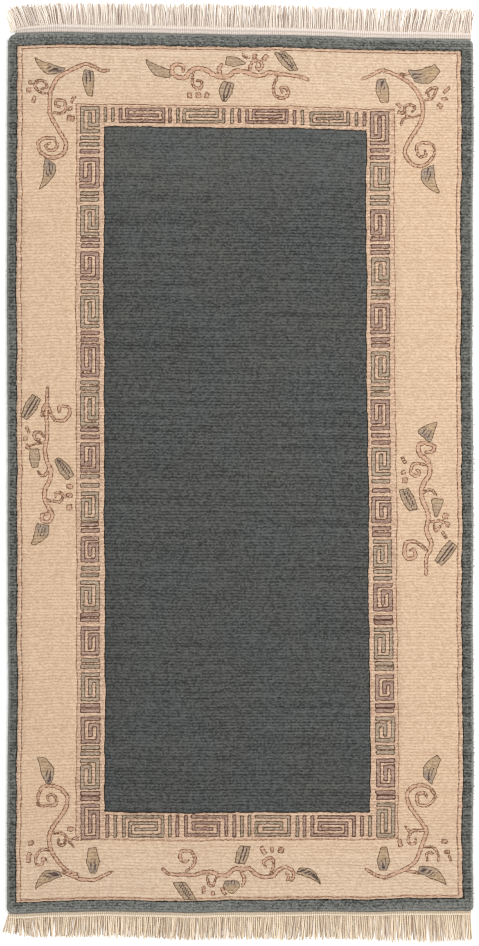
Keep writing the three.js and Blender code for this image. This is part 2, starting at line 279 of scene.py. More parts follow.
# Key-fret band. Each spiral has the places where it begins and ends along the band, so that 133, 106 turns
# the other way from 106, 133; it starts from the band's first edge or from its second, and is violet or green
keyFret = {
    "pitch": 6.2,  # pixels from stroke to stroke along the band
    "stray": 0.45,  # pixels that a spiral strays across the band
    "layer": 7,  # pixels across the band, roughly, from one stroke of a spiral to the next
    "left": {
        "stroke": 4.5,  # pixels, width of a stroke
        "across": [(106, 81.5, 96.8), (330, 82.2, 96.7), (839, 82.2, 97.5)],
        "spirals": [
            (133, 106, 2, "green"), (188, 157, 1, "violet"), (236, 205, 2, "green"),
            (280, 251, 1, "violet"), (328, 295, 2, "green"), (377, 343, 1, "violet"),
            (426, 392, 2, "green"), (472, 442, 1, "violet"), (491, 521, 1, "green"),
            (536, 562, 2, "violet"), (580, 610, 1, "green"), (626, 655, 2, "violet"),
            (672, 701, 2, "green"), (716, 743, 2, "violet"), (758, 789, 1, "green"),
            (803, 839, 2, "violet"),
        ],
        "bars": [
            (137.5, "green"), (144, "green"), (151, "violet"), (193, "green"), (199, "green"),
            (239.5, "violet"), (245.5, "violet"), (285, "green"), (291, "green"), (332.5, "violet"),
            (339, "violet"), (382, "green"), (388, "green"), (429.5, "violet"), (436.5, "violet"),
            (476, "green"), (485, "green"), (524, "violet"), (530, "violet"), (568, "green"),
            (574.5, "green"), (614, "violet"), (619.5, "violet"), (660, "green"), (666, "green"),
            (705, "violet"), (710, "violet"), (747, "green"), (753, "green"), (793, "violet"),
            (798, "violet"),
        ],
    },
    "right": {
        "stroke": 4.5,
        "across": [(106, 371.6, 386.8), (375, 372.5, 387.2), (839, 377.8, 393)],
        "spirals": [
            (145, 111, 1, "violet"), (191, 162, 2, "green"), (241, 209, 1, "violet"),
            (286, 257, 2, "green"), (334, 303, 1, "violet"), (383, 351, 2, "green"),
            (430, 399, 1, "violet"), (476, 447, 2, "green"), (496, 523, 2, "violet"),
            (539, 567, 1, "green"), (583, 611, 2, "violet"), (627, 659, 1, "green"),
            (674, 700, 2, "violet"), (716, 742, 1, "green"), (758, 787, 2, "violet"),
            (802, 837, 1, "green"),
        ],
        "bars": [
            (150, "violet"), (157, "violet"), (197, "green"), (203, "green"), (246, "violet"),
            (252, "violet"), (291, "green"), (297, "green"), (339, "violet"), (345, "violet"),
            (388, "green"), (394, "green"), (435, "violet"), (442, "violet"), (481, "green"),
            (490, "violet"), (528, "violet"), (534, "violet"), (571, "green"), (578, "green"),
            (617, "violet"), (622, "violet"), (663, "green"), (668, "green"), (705, "violet"),
            (710, "violet"), (747, "green"), (752, "green"), (792, "violet"), (797, "violet"),
        ],
    },
    "far": {
        "stroke": 3.7,
        "across": [(105, 109, 120.3), (215, 110, 121.2), (370, 113.3, 124.5)],
        "spirals": [
            (118.3, 165, 1, "violet"), (225, 182, 1, "green"), (245, 288, 1, "violet"),
            (349.5, 309, 1, "green"),
        ],
        "bars": [
            (105, "green"), (112.5, "green"), (169.5, "violet"), (177.5, "green"), (231.5, "green"),
            (239, "violet"), (294, "violet"), (302, "green"), (356, "green"), (364, "violet"),
        ],
    },
    "near": {
        "stroke": 3.8,
        "across": [(105, 815.9, 835), (370, 816.9, 834.5)],
        "spirals": [
            (121.5, 164, 2, "green"),
        ],
        "bars": [
            (107, "violet"), (115, "green"), (169.5, "green"), (177, "violet"), (234, "violet"),
            (241.5, "green"), (297, "green"), (304, "violet"), (361.5, "violet"), (369.5, "green"),
        ],
    },
    # Spirals of the near band that are wound from two strokes, as corner points in pixels
    "wound": [
        ("violet", [(185.5, 816.1), (185.5, 834.2), (218, 834.2), (218, 822.2), (193, 822.2), (193, 828.2),
                    (211, 828.2)]),
        ("violet", [(192, 816.1), (226, 816.1), (226, 834.2)]),
        ("green", [(249, 816.1), (249, 834.2)]),
        ("green", [(256, 816.1), (288.5, 816.1), (288.5, 834.2), (256, 834.2), (256, 822.2), (281, 822.2),
                   (281, 828.2), (264, 828.2)]),
        ("violet", [(312, 816.7), (312, 834.6), (346, 834.6), (346, 822.7), (319, 822.7), (319, 828.7),
                    (340, 828.7)]),
        ("violet", [(319, 816.7), (353.5, 816.7), (353.5, 834.6)]),
    ],
}

# Vine sprigs, in pixels: vines as half width and the points that they bend through, leaves as base, tip,
# width, bend, place of the widest part, bluntness of base and tip, slant of their cut and kind, and buds as
# middle, width, length and tilt in degrees
sprigs = [
    {  # far left
        "vines": [
            (2.2, [(108, 70), (101, 70.5), (93, 66), (84, 63.8), (70, 70), (58, 77), (50.5, 90),
                   (49.5, 103), (50, 115), (58, 129), (65.5, 143), (63.5, 152.5), (56, 157), (47, 156.5),
                   (39.5, 151), (38, 142.5), (44, 138), (54, 138)]),
            (1.6, [(52.5, 138), (57, 143.5), (54.5, 149.3), (48.5, 149.8), (45, 145.5), (49.5, 143)]),
            (1.6, [(49.4, 93), (42.5, 93), (36, 89), (35, 82.5), (40, 80), (45.5, 82.5), (46, 87.5),
                   (41.5, 88)]),
            (1.6, [(52, 112), (61, 113), (65, 109), (63.8, 101), (56, 100), (55.5, 106), (60, 106)]),
        ],
        "leaves": [
            (64.5, 69.5, 33.5, 56, 12, 5.4, 0.45, 0.1, 0, 0, "base"),
            (88, 69.5, 90, 96, 12.5, -0.8, 0.35, 0.5, 0.3, 0.3, "base"),
            (49.5, 160, 38, 189.5, 13.5, 3.8, 0.25, 1, 0, 0.3, "base"),
        ],
        "buds": [
            (29.5, 82, 4, 4.5, 0), (28.5, 90, 5, 5, 0), (33.5, 99, 4, 7, 15), (72.5, 99, 3.4, 8, 30),
            (70, 108.5, 5, 4.5, 0), (70.5, 118, 8, 6, 10),
        ],
    },
    {  # far right
        "vines": [
            (2.2, [(361.5, 79), (371, 75), (381.5, 70), (395, 74.5), (408, 82), (416.5, 91.5), (421.5, 102),
                   (422.3, 112.5), (420, 122), (413.5, 133), (407, 143.5), (404.3, 152.5), (409.5, 162),
                   (417.5, 166), (427, 163.3), (434.3, 154)]),
            (1.7, [(434, 155), (432.3, 144.7), (421.7, 142.5), (415.7, 147.3), (419, 156), (425, 155.3),
                   (424.3, 150)]),
            (1.5, [(397, 73.5), (404, 74), (410, 73.5)]),
            (1.6, [(424, 100), (430, 99), (434, 94), (436, 88), (430, 88.5), (426, 92), (429, 96)]),
            (1.6, [(419, 115.5), (408.5, 117), (404.3, 112), (404.5, 106.5), (409, 104.5), (414.5, 107),
                   (412, 111.5)]),
            (1.4, [(408, 117), (402, 120), (400.5, 125)]),
        ],
        "leaves": [
            (410, 75, 437.5, 67.5, 16.5, -4.6, 0.6, 0.8, 0.45, -0.35, "base"),
            (380.6, 78.5, 384.4, 102.6, 13.8, -0.6, 0.5, 0.45, 0.45, 0, "base"),
            (427.3, 166.5, 438.8, 192.7, 15.5, -4.4, 0.3, 1.1, 0.08, 0, "base"),
        ],
        "buds": [
            (398.5, 105, 4, 6.5, -45), (400, 112.5, 6.5, 3.6, 15), (446, 90, 3.6, 9, 50),
            (444, 98.5, 7, 3.4, 0), (439.5, 105.5, 4.5, 6.5, -45),
        ],
    },
    {  # near left
        "vines": [
            (2.2, [(77, 874), (67, 870), (58.5, 862), (51, 850), (48.7, 837), (52, 827), (59, 818),
                   (65.5, 807), (66.8, 796.5), (60, 788), (52, 785.5), (42, 787), (37.5, 796)]),
            (1.7, [(37.6, 795), (38, 804.5), (46.7, 805.3), (55, 804), (56, 798), (51.3, 794),
                   (46.7, 796.7), (48.7, 800)]),
            (2, [(62, 872), (70, 874.5), (80, 878.5), (94, 879.3), (103, 875), (112, 871.3)]),
            (1.6, [(50, 849.5), (41, 849.5), (35.5, 856), (36, 863), (41.5, 863.5), (43, 857), (47.5, 861)]),
            (1.6, [(51, 832.8), (62, 832.7), (66, 837), (73.3, 846)]),
            (1.5, [(64.5, 838.5), (64, 844.5), (58.5, 843.5), (58, 838)]),
        ],
        "leaves": [
            (61, 873.5, 34.5, 889, 12.5, -5.2, 0.4, 0.15, 0, 0, "base"),
            (93, 873, 92, 847, 14, 0, 0.45, 0.1, 0.5, 0, "base"),
            (48.5, 783.5, 39.5, 756.5, 14.5, -2.8, 0.45, 0.1, 0.3, 0.5, "base"),
        ],
        "buds": [
            (70, 828.5, 6.5, 5, 10), (74, 837.7, 9, 2.6, -12), (30.5, 842.5, 6, 4.5, -15),
            (28.4, 857, 5, 11, 5),
        ],
    },
    {  # near right
        "vines": [
            (2.2, [(365.5, 868.5), (374, 874), (384, 876.8), (392, 874), (403.5, 869), (415, 861),
                   (419.5, 850), (423.5, 839), (426, 830), (423, 824.5), (415, 814), (408, 803),
                   (406.8, 792.5), (413, 786), (423, 784.7), (430.5, 788.5), (435.3, 796)]),
            (1.8, [(435.5, 796.5), (427.5, 804.5), (418, 804), (416.7, 794), (424.5, 792.8), (426.3, 797)]),
            (1.7, [(403, 869.5), (411, 871), (418.5, 873)]),
            (1.6, [(424.7, 846.7), (433, 847), (437.5, 854), (438, 861)]),
            (1.5, [(427, 861), (426.5, 852.5), (432.5, 852.5)]),
            (1.6, [(425, 830), (414, 830), (410, 831.5), (404.7, 826)]),
            (1.5, [(411, 832), (407.5, 838), (409, 843), (415, 842.5), (415, 837)]),
        ],
        "leaves": [
            (418, 869, 446.7, 885.5, 12, 4, 0.45, 0.5, 0, -0.4, "base"),
            (382.5, 870, 383.5, 846, 13.3, 0, 0.4, 0.25, 0.35, 0, "base"),
            (428, 781.5, 438.5, 756.5, 15, 3.4, 0.4, 0.3, 0.4, 0.4, "base"),
        ],
        "buds": [
            (399.5, 842.5, 4.5, 8, -15), (444, 841, 6.5, 4.5, 10), (446.5, 851, 5.5, 5, 0),
            (449.5, 858, 3.4, 6, -25),
        ],
    },
    {  # middle of the far end
        "vines": [
            (2.5, [(307.5, 79.5), (302, 77), (290, 75), (279, 73.5), (268, 72.3), (260, 75.5), (251, 74),
                   (244, 71.3), (234.5, 71), (229, 75.5), (220, 76.8), (213, 74.3), (206, 70), (196, 68),
                   (189, 72), (185, 77.3), (178, 77), (172.3, 73), (171.5, 67.5), (176, 64.3),
                   (182.5, 65.5), (183, 70.5)]),
            (1.6, [(193.3, 71), (192.2, 78), (192.2, 84), (196, 88), (201, 87), (201, 81), (196.5, 80.5)]),
            (2.1, [(221, 76), (218.5, 69), (221.5, 64)]),
            (1.8, [(249.4, 72.5), (250, 65), (253.5, 60.8), (260, 61.7), (262, 66), (258, 69.5),
                   (255.5, 66)]),
            (1.8, [(277, 77), (273, 86), (274.5, 95), (282, 98), (287.8, 94), (285.6, 87.3), (280.5, 87.5),
                   (282, 92)]),
        ],
        "leaves": [
            (169.8, 73.5, 145.3, 59.3, 11.5, 3.6, 0.42, 0.7, 0.05, -0.5, "plain"),
            (225.3, 60.5, 246, 63.2, 10.8, 0.3, 0.4, 0.9, 0, 0, "plain"),
            (228.6, 81.7, 223.5, 101.5, 14.3, -1, 0.5, 1.2, 0.1, 0, "striped"),
            (278, 51.5, 294.8, 70.5, 13, 0, 0.5, 0.7, 0.35, 0.7, "striped"),
        ],
        "buds": [
            (243.5, 56, 2.6, 6.5, -40), (247, 57.5, 2.6, 5, -40), (254, 56, 4.5, 5.5, 0),
            (264.7, 57.5, 5, 7, 35), (189, 95, 5, 6.5, 0), (198, 95, 5.5, 6.5, 0), (206.5, 95, 4.8, 6, 15),
        ],
    },
    {  # middle of the near end
        "vines": [
            (2.2, [(162, 868), (166.5, 872.5), (175, 874), (184, 874), (193, 874.7), (202, 872),
                   (210.5, 871.3), (217, 874), (226, 874.7), (231, 870.5), (235, 868), (242, 868.5),
                   (249.5, 868.3), (255, 873.5), (263, 876.3), (272, 876), (277, 870.5), (284, 866.5),
                   (290.5, 868.8), (293.5, 873), (291.5, 880)]),
            (1.8, [(186, 870.5), (192.8, 865), (194.4, 858), (191, 851.3), (182, 850.3), (179.5, 857),
                   (183, 861.5), (188, 859.5)]),
            (1.6, [(206.7, 876), (208.3, 883), (212.5, 885.5), (215.6, 877)]),
            (1.8, [(240, 870), (244, 878), (242, 886)]),
            (1.8, [(270, 874.5), (272.8, 867), (273, 859.5), (268.3, 857.4), (263, 861), (265.5, 867)]),
            (1.5, [(285, 872), (288, 876), (287, 880)]),
        ],
        "leaves": [
            (177.7, 881.3, 190.5, 899.2, 12, 0, 0.5, 2.5, 2.5, 0.67, "striped"),
            (231, 879.8, 231.5, 893, 17.5, 0, 0.45, 0.8, 0.1, 0, "base"),
            (244.8, 845.3, 239, 863.3, 12.8, 0, 0.5, 1.5, 1.4, -0.2, "striped"),
            (296.7, 870.5, 320.5, 884, 10, 4, 0.4, 0.5, 0.05, 0, "striped"),
        ],
        "buds": [
            (262.7, 850, 4.6, 9, -30), (271.7, 849, 3.6, 6, 0), (280.5, 849.5, 6, 6.5, 15),
            (203, 889.5, 3.8, 8, 0), (212.5, 893, 4.5, 4.5, 0), (223.3, 891, 4, 8.5, -30),
        ],
    },
    {  # middle of the left side
        "vines": [
            (2.3, [(47, 387), (46.7, 401), (46, 412), (46.5, 423), (46.7, 437), (44.5, 449), (46.5, 461),
                   (50.5, 470), (49, 480), (45, 488), (44, 497), (47.5, 506), (52, 514.5), (49, 521.3),
                   (42, 520.5), (41.8, 514.5), (47, 513.3)]),
            (1.8, [(46.5, 402), (43, 408), (41.7, 416)]),
            (1.8, [(47, 402), (50, 412), (54.6, 419.7), (64, 420), (69, 414), (68.5, 407), (59, 406),
                   (59, 412)]),
            (1.6, [(44, 436), (39, 431.6), (34, 433), (34.6, 438.6), (39.5, 439.5)]),
            (1.5, [(45, 442), (38, 443), (30.3, 445)]),
            (1.6, [(49, 466), (46, 473), (41.7, 475.7), (37.4, 471.4)]),
            (1.6, [(45, 498.6), (53, 501), (60.3, 501), (62.4, 494.5), (56.5, 491.6), (55, 497)]),
        ],
        "leaves": [
            (36.5, 396, 23.5, 418, 13.5, 0, 0.45, 0.7, 0.5, 0, "striped"),
            (34, 448, 34.5, 467.5, 11.5, 0, 0.5, 1, 0.3, 0, "plain"),
            (56, 458, 70.5, 477.5, 12.5, 0, 0.6, 0.2, 0.7, 0, "striped"),
            (43, 523.5, 31.5, 544.5, 15.5, 2.5, 0.3, 1, 0.1, -0.3, "base"),
        ],
        "buds": [
            (27.5, 429.5, 3.6, 8, -25), (25, 438, 5, 4, 0), (27.5, 446.5, 5, 5, 20), (69.5, 486, 7, 5, 0),
            (69, 495, 6.5, 4.6, 0), (69, 507, 6, 6.5, 0),
        ],
    },
    {  # middle of the right side
        "vines": [
            (2.5, [(425.7, 574), (425.7, 557), (429.5, 550), (430.7, 542), (428, 536), (425.7, 528),
                   (428, 518), (426.5, 510), (422, 500), (420.7, 490.5), (423.6, 482), (428.6, 475),
                   (429.3, 467), (426.5, 459.5), (420.5, 455), (417.8, 449.5), (419, 443.8), (425, 442.7),
                   (433.5, 446), (432, 451), (425.7, 452)]),
            (2.1, [(426, 549.5), (416, 541.8), (406, 542), (404, 554), (408.5, 558.7), (415, 556),
                   (413.6, 549.5), (410, 549.5)]),
            (1.8, [(427, 464.5), (413.5, 463.4), (410, 472), (415, 475.7), (419, 472.5), (416, 469.5)]),
            (1.6, [(424, 492), (427, 490), (432, 490), (435.5, 495)]),
            (1.6, [(428, 521.3), (440, 520.8), (448.6, 524)]),
            (1.5, [(433, 523.5), (435.5, 530.5), (440.5, 525)]),
        ],
        "leaves": [
            (423, 437.5, 436.8, 421.5, 17.5, 1, 0.15, 0.8, 0, 0, "base"),
            (402.5, 488.5, 413.5, 510, 13, 0, 0.5, 0.8, 0.8, 0.3, "striped"),
            (437, 498, 435.5, 516.5, 12.5, 0, 0.15, 1.5, 0.15, 0, "plain"),
            (453, 542.5, 437.5, 563, 12.5, 0, 0.5, 1.5, 1, 0, "striped"),
        ],
        "buds": [
            (403.3, 460, 4, 8, -30), (402.8, 472, 5, 4.6, 0), (404.3, 480, 5.5, 6, 0),
            (445, 515.5, 6, 6, 20), (447.5, 524.5, 4.6, 6, 15), (443.8, 534.5, 3.6, 9, -30),
        ],
    },
]

vineShape = {
    "springiness": 0.4,  # 0.5 makes round bends and less makes square ones, as knots do
    "ends": 0.7,  # share of the half width at both ends of a vine
    "middle": 1.03,
    "budFill": 1.9,  # mm, as far inside as a bud counts, so that much of it is outline
}

veinLines = {  # sideways place as a share of the half width, start and end along the leaf
    "plain": [],
    "base": [(-0.4, 0.1, 0.55), (0.02, 0.05, 0.5), (0.4, 0.08, 0.45)],
    "striped": [(-0.15, 0.03, 0.96), (0.42, 0.12, 0.8)],
}
veinHalf = {"plain": 0, "base": 0.8, "striped": 1.15}  # mm
# Share of violet yarn at the base and tip
leafTints = {"plain": (0.15, 0.45), "base": (1, 0), "striped": (0.45, 0.4)}
tintFade = (0.15, 0.55)  # along a leaf, where one share turns into the other


def onRug(pixels):
    pixels = np.asarray(pixels, float)
    x = (pixels[..., 0] - middlePixel[0]) * pixelSize
    y = (middlePixel[1] - pixels[..., 1]) * pixelSize
    return np.stack([x, y], -1)


def throughPoints(points, steps=7):
    points = np.asarray(points, float)
    ends = np.vstack([2 * points[0] - points[1], points, 2 * points[-1] - points[-2]])
    pull = vineShape["springiness"]
    t = np.arange(steps)[:, None] / steps
    runs = []
    for a, b, c, d in zip(ends, ends[1:], ends[2:], ends[3:]):
        startPull, endPull = pull * (c - a), pull * (d - b)
        runs.append(b + startPull * t + (3 * (c - b) - 2 * startPull - endPull) * t ** 2
                    + (2 * (b - c) + startPull + endPull) * t ** 3)
    return np.vstack(runs + [points[-1:]])


# Corner points of a squared spiral in the band: along the outer bar, the far side, the outer edge and inwards
def spiralPoints(begin, end, first, second, pitch):
    turn = math.copysign(pitch, end - begin)
    layers = max(2, round(abs(second - first) / keyFret["layer"]))
    step = (second - first) / layers
    points = [(first, begin), (second, begin), (second, end), (first, end), (first, begin + turn),
              (second - step, begin + turn), (second - step, end - turn)]
    if layers > 2:
        points += [(first + step, end - turn), (first + step, begin + 2 * turn)]
    return points


# Boxes of the fret strokes on the rug, as middle, half size and how violet they are
def fretBoxes():
    boxes = []
    random = np.random.default_rng(41)

    def addStrokes(points, tone, half):
        for a, b in zip(points, points[1:]):
            low, high = np.minimum(a, b) - half, np.maximum(a, b) + half
            boxes.append((onRug((low + high) / 2), (high - low) / 2 * pixelSize, tone == "violet"))

    for side in ("left", "right", "far", "near"):
        band = keyFret[side]
        half = band["stroke"] / 2
        upright = side in ("left", "right")
        for begin, end, edge, tone in band["spirals"]:
            stray = random.uniform(-1, 1, 2) * keyFret["stray"]
            edges = [readTable(band["across"], column, (begin + end) / 2) + stray[column - 1]
                     for column in (1, 2)]
            first, second = edges if edge == 1 else edges[::-1]
            inward = math.copysign(half, end - begin)
            points = spiralPoints(begin + inward, end - inward, first, second, keyFret["pitch"])
            addStrokes([np.array(p if upright else p[::-1]) for p in points], tone, half)
        for place, tone in band["bars"]:
            stray = random.uniform(-1, 1, 2) * keyFret["stray"]
            ends = [(readTable(band["across"], column, place) + stray[column - 1], place)
                    for column in (1, 2)]
            addStrokes([np.array(p if upright else p[::-1]) for p in ends], tone, half)
    for tone, points in keyFret["wound"]:
        addStrokes([np.array(p) for p in points], tone, keyFret["near"]["stroke"] / 2)
    return boxes


# How far points lie inside a box that may be turned, negative outside
def insideBox(offsets, halfSize, tilt=0):
    turn = np.array([[math.cos(tilt), -math.sin(tilt)], [math.sin(tilt), math.cos(tilt)]])
    beyond = np.abs(offsets @ turn) - halfSize
    outside = np.linalg.norm(np.maximum(beyond, 0), axis=1)
    return -(outside + np.minimum(beyond.max(1), 0))


# Distance to a line of points, and the place along it, from 0 to 1, that is nearest
def distanceToLine(spots, line):
    nearest, place = np.full(len(spots), np.inf), np.zeros(len(spots))
    for k, (a, b) in enumerate(zip(line, line[1:])):
        run = b - a
        share = np.clip(((spots - a) @ run) / max(run @ run, 1e-9), 0, 1)
        away = np.linalg.norm(spots - a - share[:, None] * run, axis=1)
        place = np.where(away < nearest, (k + share) / (len(line) - 1), place)
        nearest = np.minimum(nearest, away)
    return nearest, place


# Half width of a leaf along its length, 1 at its widest place; a blunt end is as if cut from a longer leaf
def leafHalf(share, widest, bluntBase, bluntTip):
    share = np.clip(share, 0, 1)
    opening = np.minimum((share + bluntBase) / (widest + bluntBase), 1) ** 0.6
    return opening * np.minimum((1 - share + bluntTip) / (1 - widest + bluntTip), 1) ** 0.75


# Boxes of rug that a sprig covers, for the finer cells under it
def sprigReach(sprig):
    points = [p for half, line in sprig["vines"] for p in line]
    points += ([(leaf[0], leaf[1]) for leaf in sprig["leaves"]]
               + [(leaf[2], leaf[3]) for leaf in sprig["leaves"]])
    points += [(bud[0], bud[1]) for bud in sprig["buds"]]
    spots = onRug(points)
    margin = 12
    return spots.min(0) - margin, spots.max(0) + margin


print("rug: choosing where the pattern needs fine cells")
cellX = pulledX[:-1]
cellY = (pulledY[:-1] + pulledY[1:]) / 2
fineCells = np.zeros(cellX.shape, bool)
for sprig in sprigs:
    low, high = sprigReach(sprig)
    fineCells |= (cellX > low[0]) & (cellX < high[0]) & (cellY > low[1]) & (cellY < high[1])
bandInside = (insideLine["bandLine"] > -2) & (insideLine["fieldLine"] < 3)
fineCells |= bandInside[:-1]

# A fine column is used all across the coarse cell that it stands in
coarseColumns = np.flatnonzero(isCoarse)
used = np.zeros(fineCells.shape, bool)
used[:, coarseColumns] = True
for first, last in zip(coarseColumns, coarseColumns[1:]):
    if last - first > 1:
        used[:, first + 1:last] = fineCells[:, first + 1:last].any(1)[:, None]
present = np.zeros((rows, columns), bool)
present[:-1] |= used
present[1:] |= used
number = np.full((rows, columns), -1)
number[present] = np.arange(present.sum())

print("rug: making the pile mesh")
points = np.stack([pulledX[present], pulledY[present], gridZ[present]], 1)
faces = []
for row in range(rows - 1):
    usedHere = np.flatnonzero(used[row])
    for left, right in zip(usedHere, usedHere[1:]):
        bottom = number[row, left:right + 1]
        top = number[row + 1, left:right + 1]
        faces.append([*bottom[bottom >= 0].tolist(), *top[top >= 0][::-1].tolist()])

# Round the rim: near end, right side, far end and left side, seen from above against the clock
nearRim = number[0][present[0]]
farRim = number[-1][present[-1]]
leftRim, rightRim = number[:, 0], number[:, -1]
rim = np.concatenate([nearRim[:-1], rightRim[:-1], farRim[:0:-1], leftRim[:0:-1]])
tangent = np.roll(points[rim, :2], -1, 0) - np.roll(points[rim, :2], 1, 0)
tangent /= np.linalg.norm(tangent, axis=1, keepdims=True)
inward = np.stack([-tangent[:, 1], tangent[:, 0]], 1)
loops = [rim]
for inset, height in cloth["underEdge"]:
    loop = np.hstack([points[rim, :2] + inward * inset, np.full((len(rim), 1), height)])
    loops.append(len(points) + np.arange(len(rim)))
    points = np.vstack([points, loop])
for upper, lower in zip(loops, loops[1:]):
    for a, b, c, d in zip(lower, np.roll(lower, -1), np.roll(upper, -1), upper):
        faces.append([int(a), int(b), int(c), int(d)])
wallFaces = len(faces)

# The flat back, one strip to each knot row
placeOnRim = {int(v): int(w) for v, w in zip(rim, loops[-1])}
backLeft = [placeOnRim[int(v)] for v in leftRim]
backRight = [placeOnRim[int(v)] for v in rightRim]
backNear = [placeOnRim[int(v)] for v in nearRim]
backFar = [placeOnRim[int(v)] for v in farRim]
for row in range(rows - 1):
    lowSide = backNear if row == 0 else [backLeft[row], backRight[row]]
    highSide = backFar if row == rows - 2 else [backLeft[row + 1], backRight[row + 1]]
    faces.append([*highSide, *lowSide[::-1]])

# The design is measured at every point of the pile: how far it lies inside each stroke, vine and leaf
print("rug: drawing the design on the pile")
spots = points[:present.sum(), :2]
farOutside = -8.0
design = {name: np.full(len(spots), farOutside)
          for name in ("fretInside", "vineInside", "leafInside", "veinInside")}
fretViolet = np.zeros(len(spots))


def spotsNear(low, high):
    return np.flatnonzero(((spots > low) & (spots < high)).all(1))


def raiseTo(name, chosen, value):
    design[name][chosen] = np.maximum(design[name][chosen], value)


for middle, halfSize, violet in fretBoxes():
    chosen = spotsNear(middle - halfSize + farOutside / 2, middle + halfSize - farOutside / 2)
    value = insideBox(spots[chosen] - middle, halfSize)
    fretViolet[chosen] = np.where(value > design["fretInside"][chosen], violet, fretViolet[chosen])
    raiseTo("fretInside", chosen, value)

leafViolet = np.zeros(len(spots))
for sprig in sprigs:
    reach = spotsNear(*sprigReach(sprig))
    for half, line in sprig["vines"]:
        away, place = distanceToLine(spots[reach], onRug(throughPoints(line)))
        swell = vineShape["ends"] + (vineShape["middle"] - vineShape["ends"]) * np.sin(math.pi * place) ** 0.6
        raiseTo("vineInside", reach, half * pixelSize * swell - away)
    for x, y, width, length, tilt in sprig["buds"]:
        halfSize = np.array([width, length]) / 2 * pixelSize
        inside = insideBox(spots[reach] - onRug((x, y)), halfSize, -math.radians(tilt))
        raiseTo("vineInside", reach, np.minimum(inside, vineShape["budFill"]))
    for baseX, baseY, tipX, tipY, width, bend, *profile, slant, kind in sprig["leaves"]:
        base, tip = onRug((baseX, baseY)), onRug((tipX, tipY))
        length = np.linalg.norm(tip - base)
        axis = (tip - base) / length
        beside = np.array([-axis[1], axis[0]])
        away = spots[reach] - base
        share = (away @ axis) / length
        side = away @ beside - 4 * bend * pixelSize * share * (1 - share)
        half = leafHalf(share, *profile) * width / 2 * pixelSize
        cut = share * length - slant * side
        inside = np.minimum(half - np.abs(side), np.minimum(cut, length - cut))
        raiseTo("leafInside", reach, np.maximum(inside, farOutside))
        fade = np.clip((share - tintFade[0]) / (tintFade[1] - tintFade[0]), 0, 1)
        leafViolet[reach] = np.where(inside > -2, alongPair(leafTints[kind], fade), leafViolet[reach])
        for place, begin, end in veinLines[kind]:
            line = [base + axis * length * t + beside * pixelSize
                    * (4 * bend * t * (1 - t) + place * leafHalf(t, *profile) * width / 2)
                    for t in np.linspace(begin, end, 6)]
            raiseTo("veinInside", reach, veinHalf[kind] - distanceToLine(spots[reach], line)[0])

pile = newPiece("knotted_pile", points, faces)
pileTriangles = sum(len(p.vertices) - 2 for p in pile.data.polygons)
print("rug: pile triangles", pileTriangles, "points", len(points))


# Values of the top for the points of the rim loops under it
def withRim(values):
    return np.concatenate([values] + [values[rim]] * len(cloth["underEdge"]))


for name, values in insideLine.items():
    giveAttribute(pile, name, withRim(values[present]))
for name, values in design.items():
    giveAttribute(pile, name, withRim(values))
giveAttribute(pile, "edgeDistance", withRim(edgeDistance[present]))
giveAttribute(pile, "fretViolet", withRim(fretViolet))
giveAttribute(pile, "leafViolet", withRim(leafViolet))
courses = np.broadcast_to(np.arange(rows)[:, None] / 2, (rows, columns))
weave = np.stack([gridX[present], courses[present], gridY[present]], 1)
giveAttribute(pile, "knotPlace", np.vstack([weave] + [weave[rim]] * len(cloth["underEdge"])))

# Yarns as a shaded and a lit sRGB colour; cut wool shows both in every knot
yarns = {
    "slateBand": ("#2d2e2c", "#898a84"),
    # grooveShade is no yarn: it is painted shade for the clipped grooves
    "grooveShade": ("#1b1814", "#3c342b"),
    "pinkStripe": ("#b69278", "#dfc3a8"),
    "cream": ("#c5a486", "#e0c4a7"),
    "endCream": ("#c4a68b", "#e0c8ad"),  # a little bleached at both ends
    "keyGround": ("#ae8b74", "#e0c2a6"),
    "slateField": ("#2b2d2c", "#5e615f"),
    "slateWarm": ("#2d2d2c", "#60605d"),
    "brownLine": ("#764e38", "#b0866c"),
    "violetEdge": ("#4f3428", "#846050"),
    "violetFill": ("#866c60", "#ba9e8b"),
    "greenEdge": ("#4e3c2c", "#806750"),
    "greenFill": ("#897764", "#bea993"),
    "vineEdge": ("#664432", "#946e54"),
    "vineFill": ("#b58d75", "#dab699"),
    "leafEdge": ("#604a36", "#8d745b"),
    "leafFill": ("#997e62", "#c6ab8b"),
    "leafDusk": ("#867668", "#b09c8a"),
    "veinViolet": ("#41322c", "#6e5a54"),
}

pileFinish = {
    "knot": (2.7, 0.5),  # mm along the row and ribs across it, size of one knot
    "dash": (8, 0.6),  # mm and ribs, of the lit dashes where a few knots stand proud together
    "fibre": 1.2,  # mm, drawn coarser than wool fibre so that it shows
    "tuft": 2.3,  # mm, of the coarser yarn in the outer band
    "stripe": (260, 1.3),  # mm and ribs, of yarn batches that take the dye a little differently
    "patch": (75, 26),  # mm and ribs, of warmer and cooler places in the field
    "wander": 1.9,  # mm that the edge of a colour strays from knot to knot
    "outline": 1.4,  # mm, width of the dark row of knots round each motif
    "bump": 0.0011,
    # Where the wool changes: mm from the rug's middle or along it, from where it begins to where it is full
    "endBatch": (636, 662),  # coarser, worn yarn in the outer band at both ends
    # the field is drawn lighter towards the far end
    "farLighter": (380, 470),
    "nearWorn": (-630, -660),
    "bleached": (500, 600),
}


# A material by the name of the real one, with its shader
def newMaterial(name):
    material = bpy.data.materials.new(name)
    material.use_nodes = True
    return material, material.node_tree.nodes["Principled BSDF"]


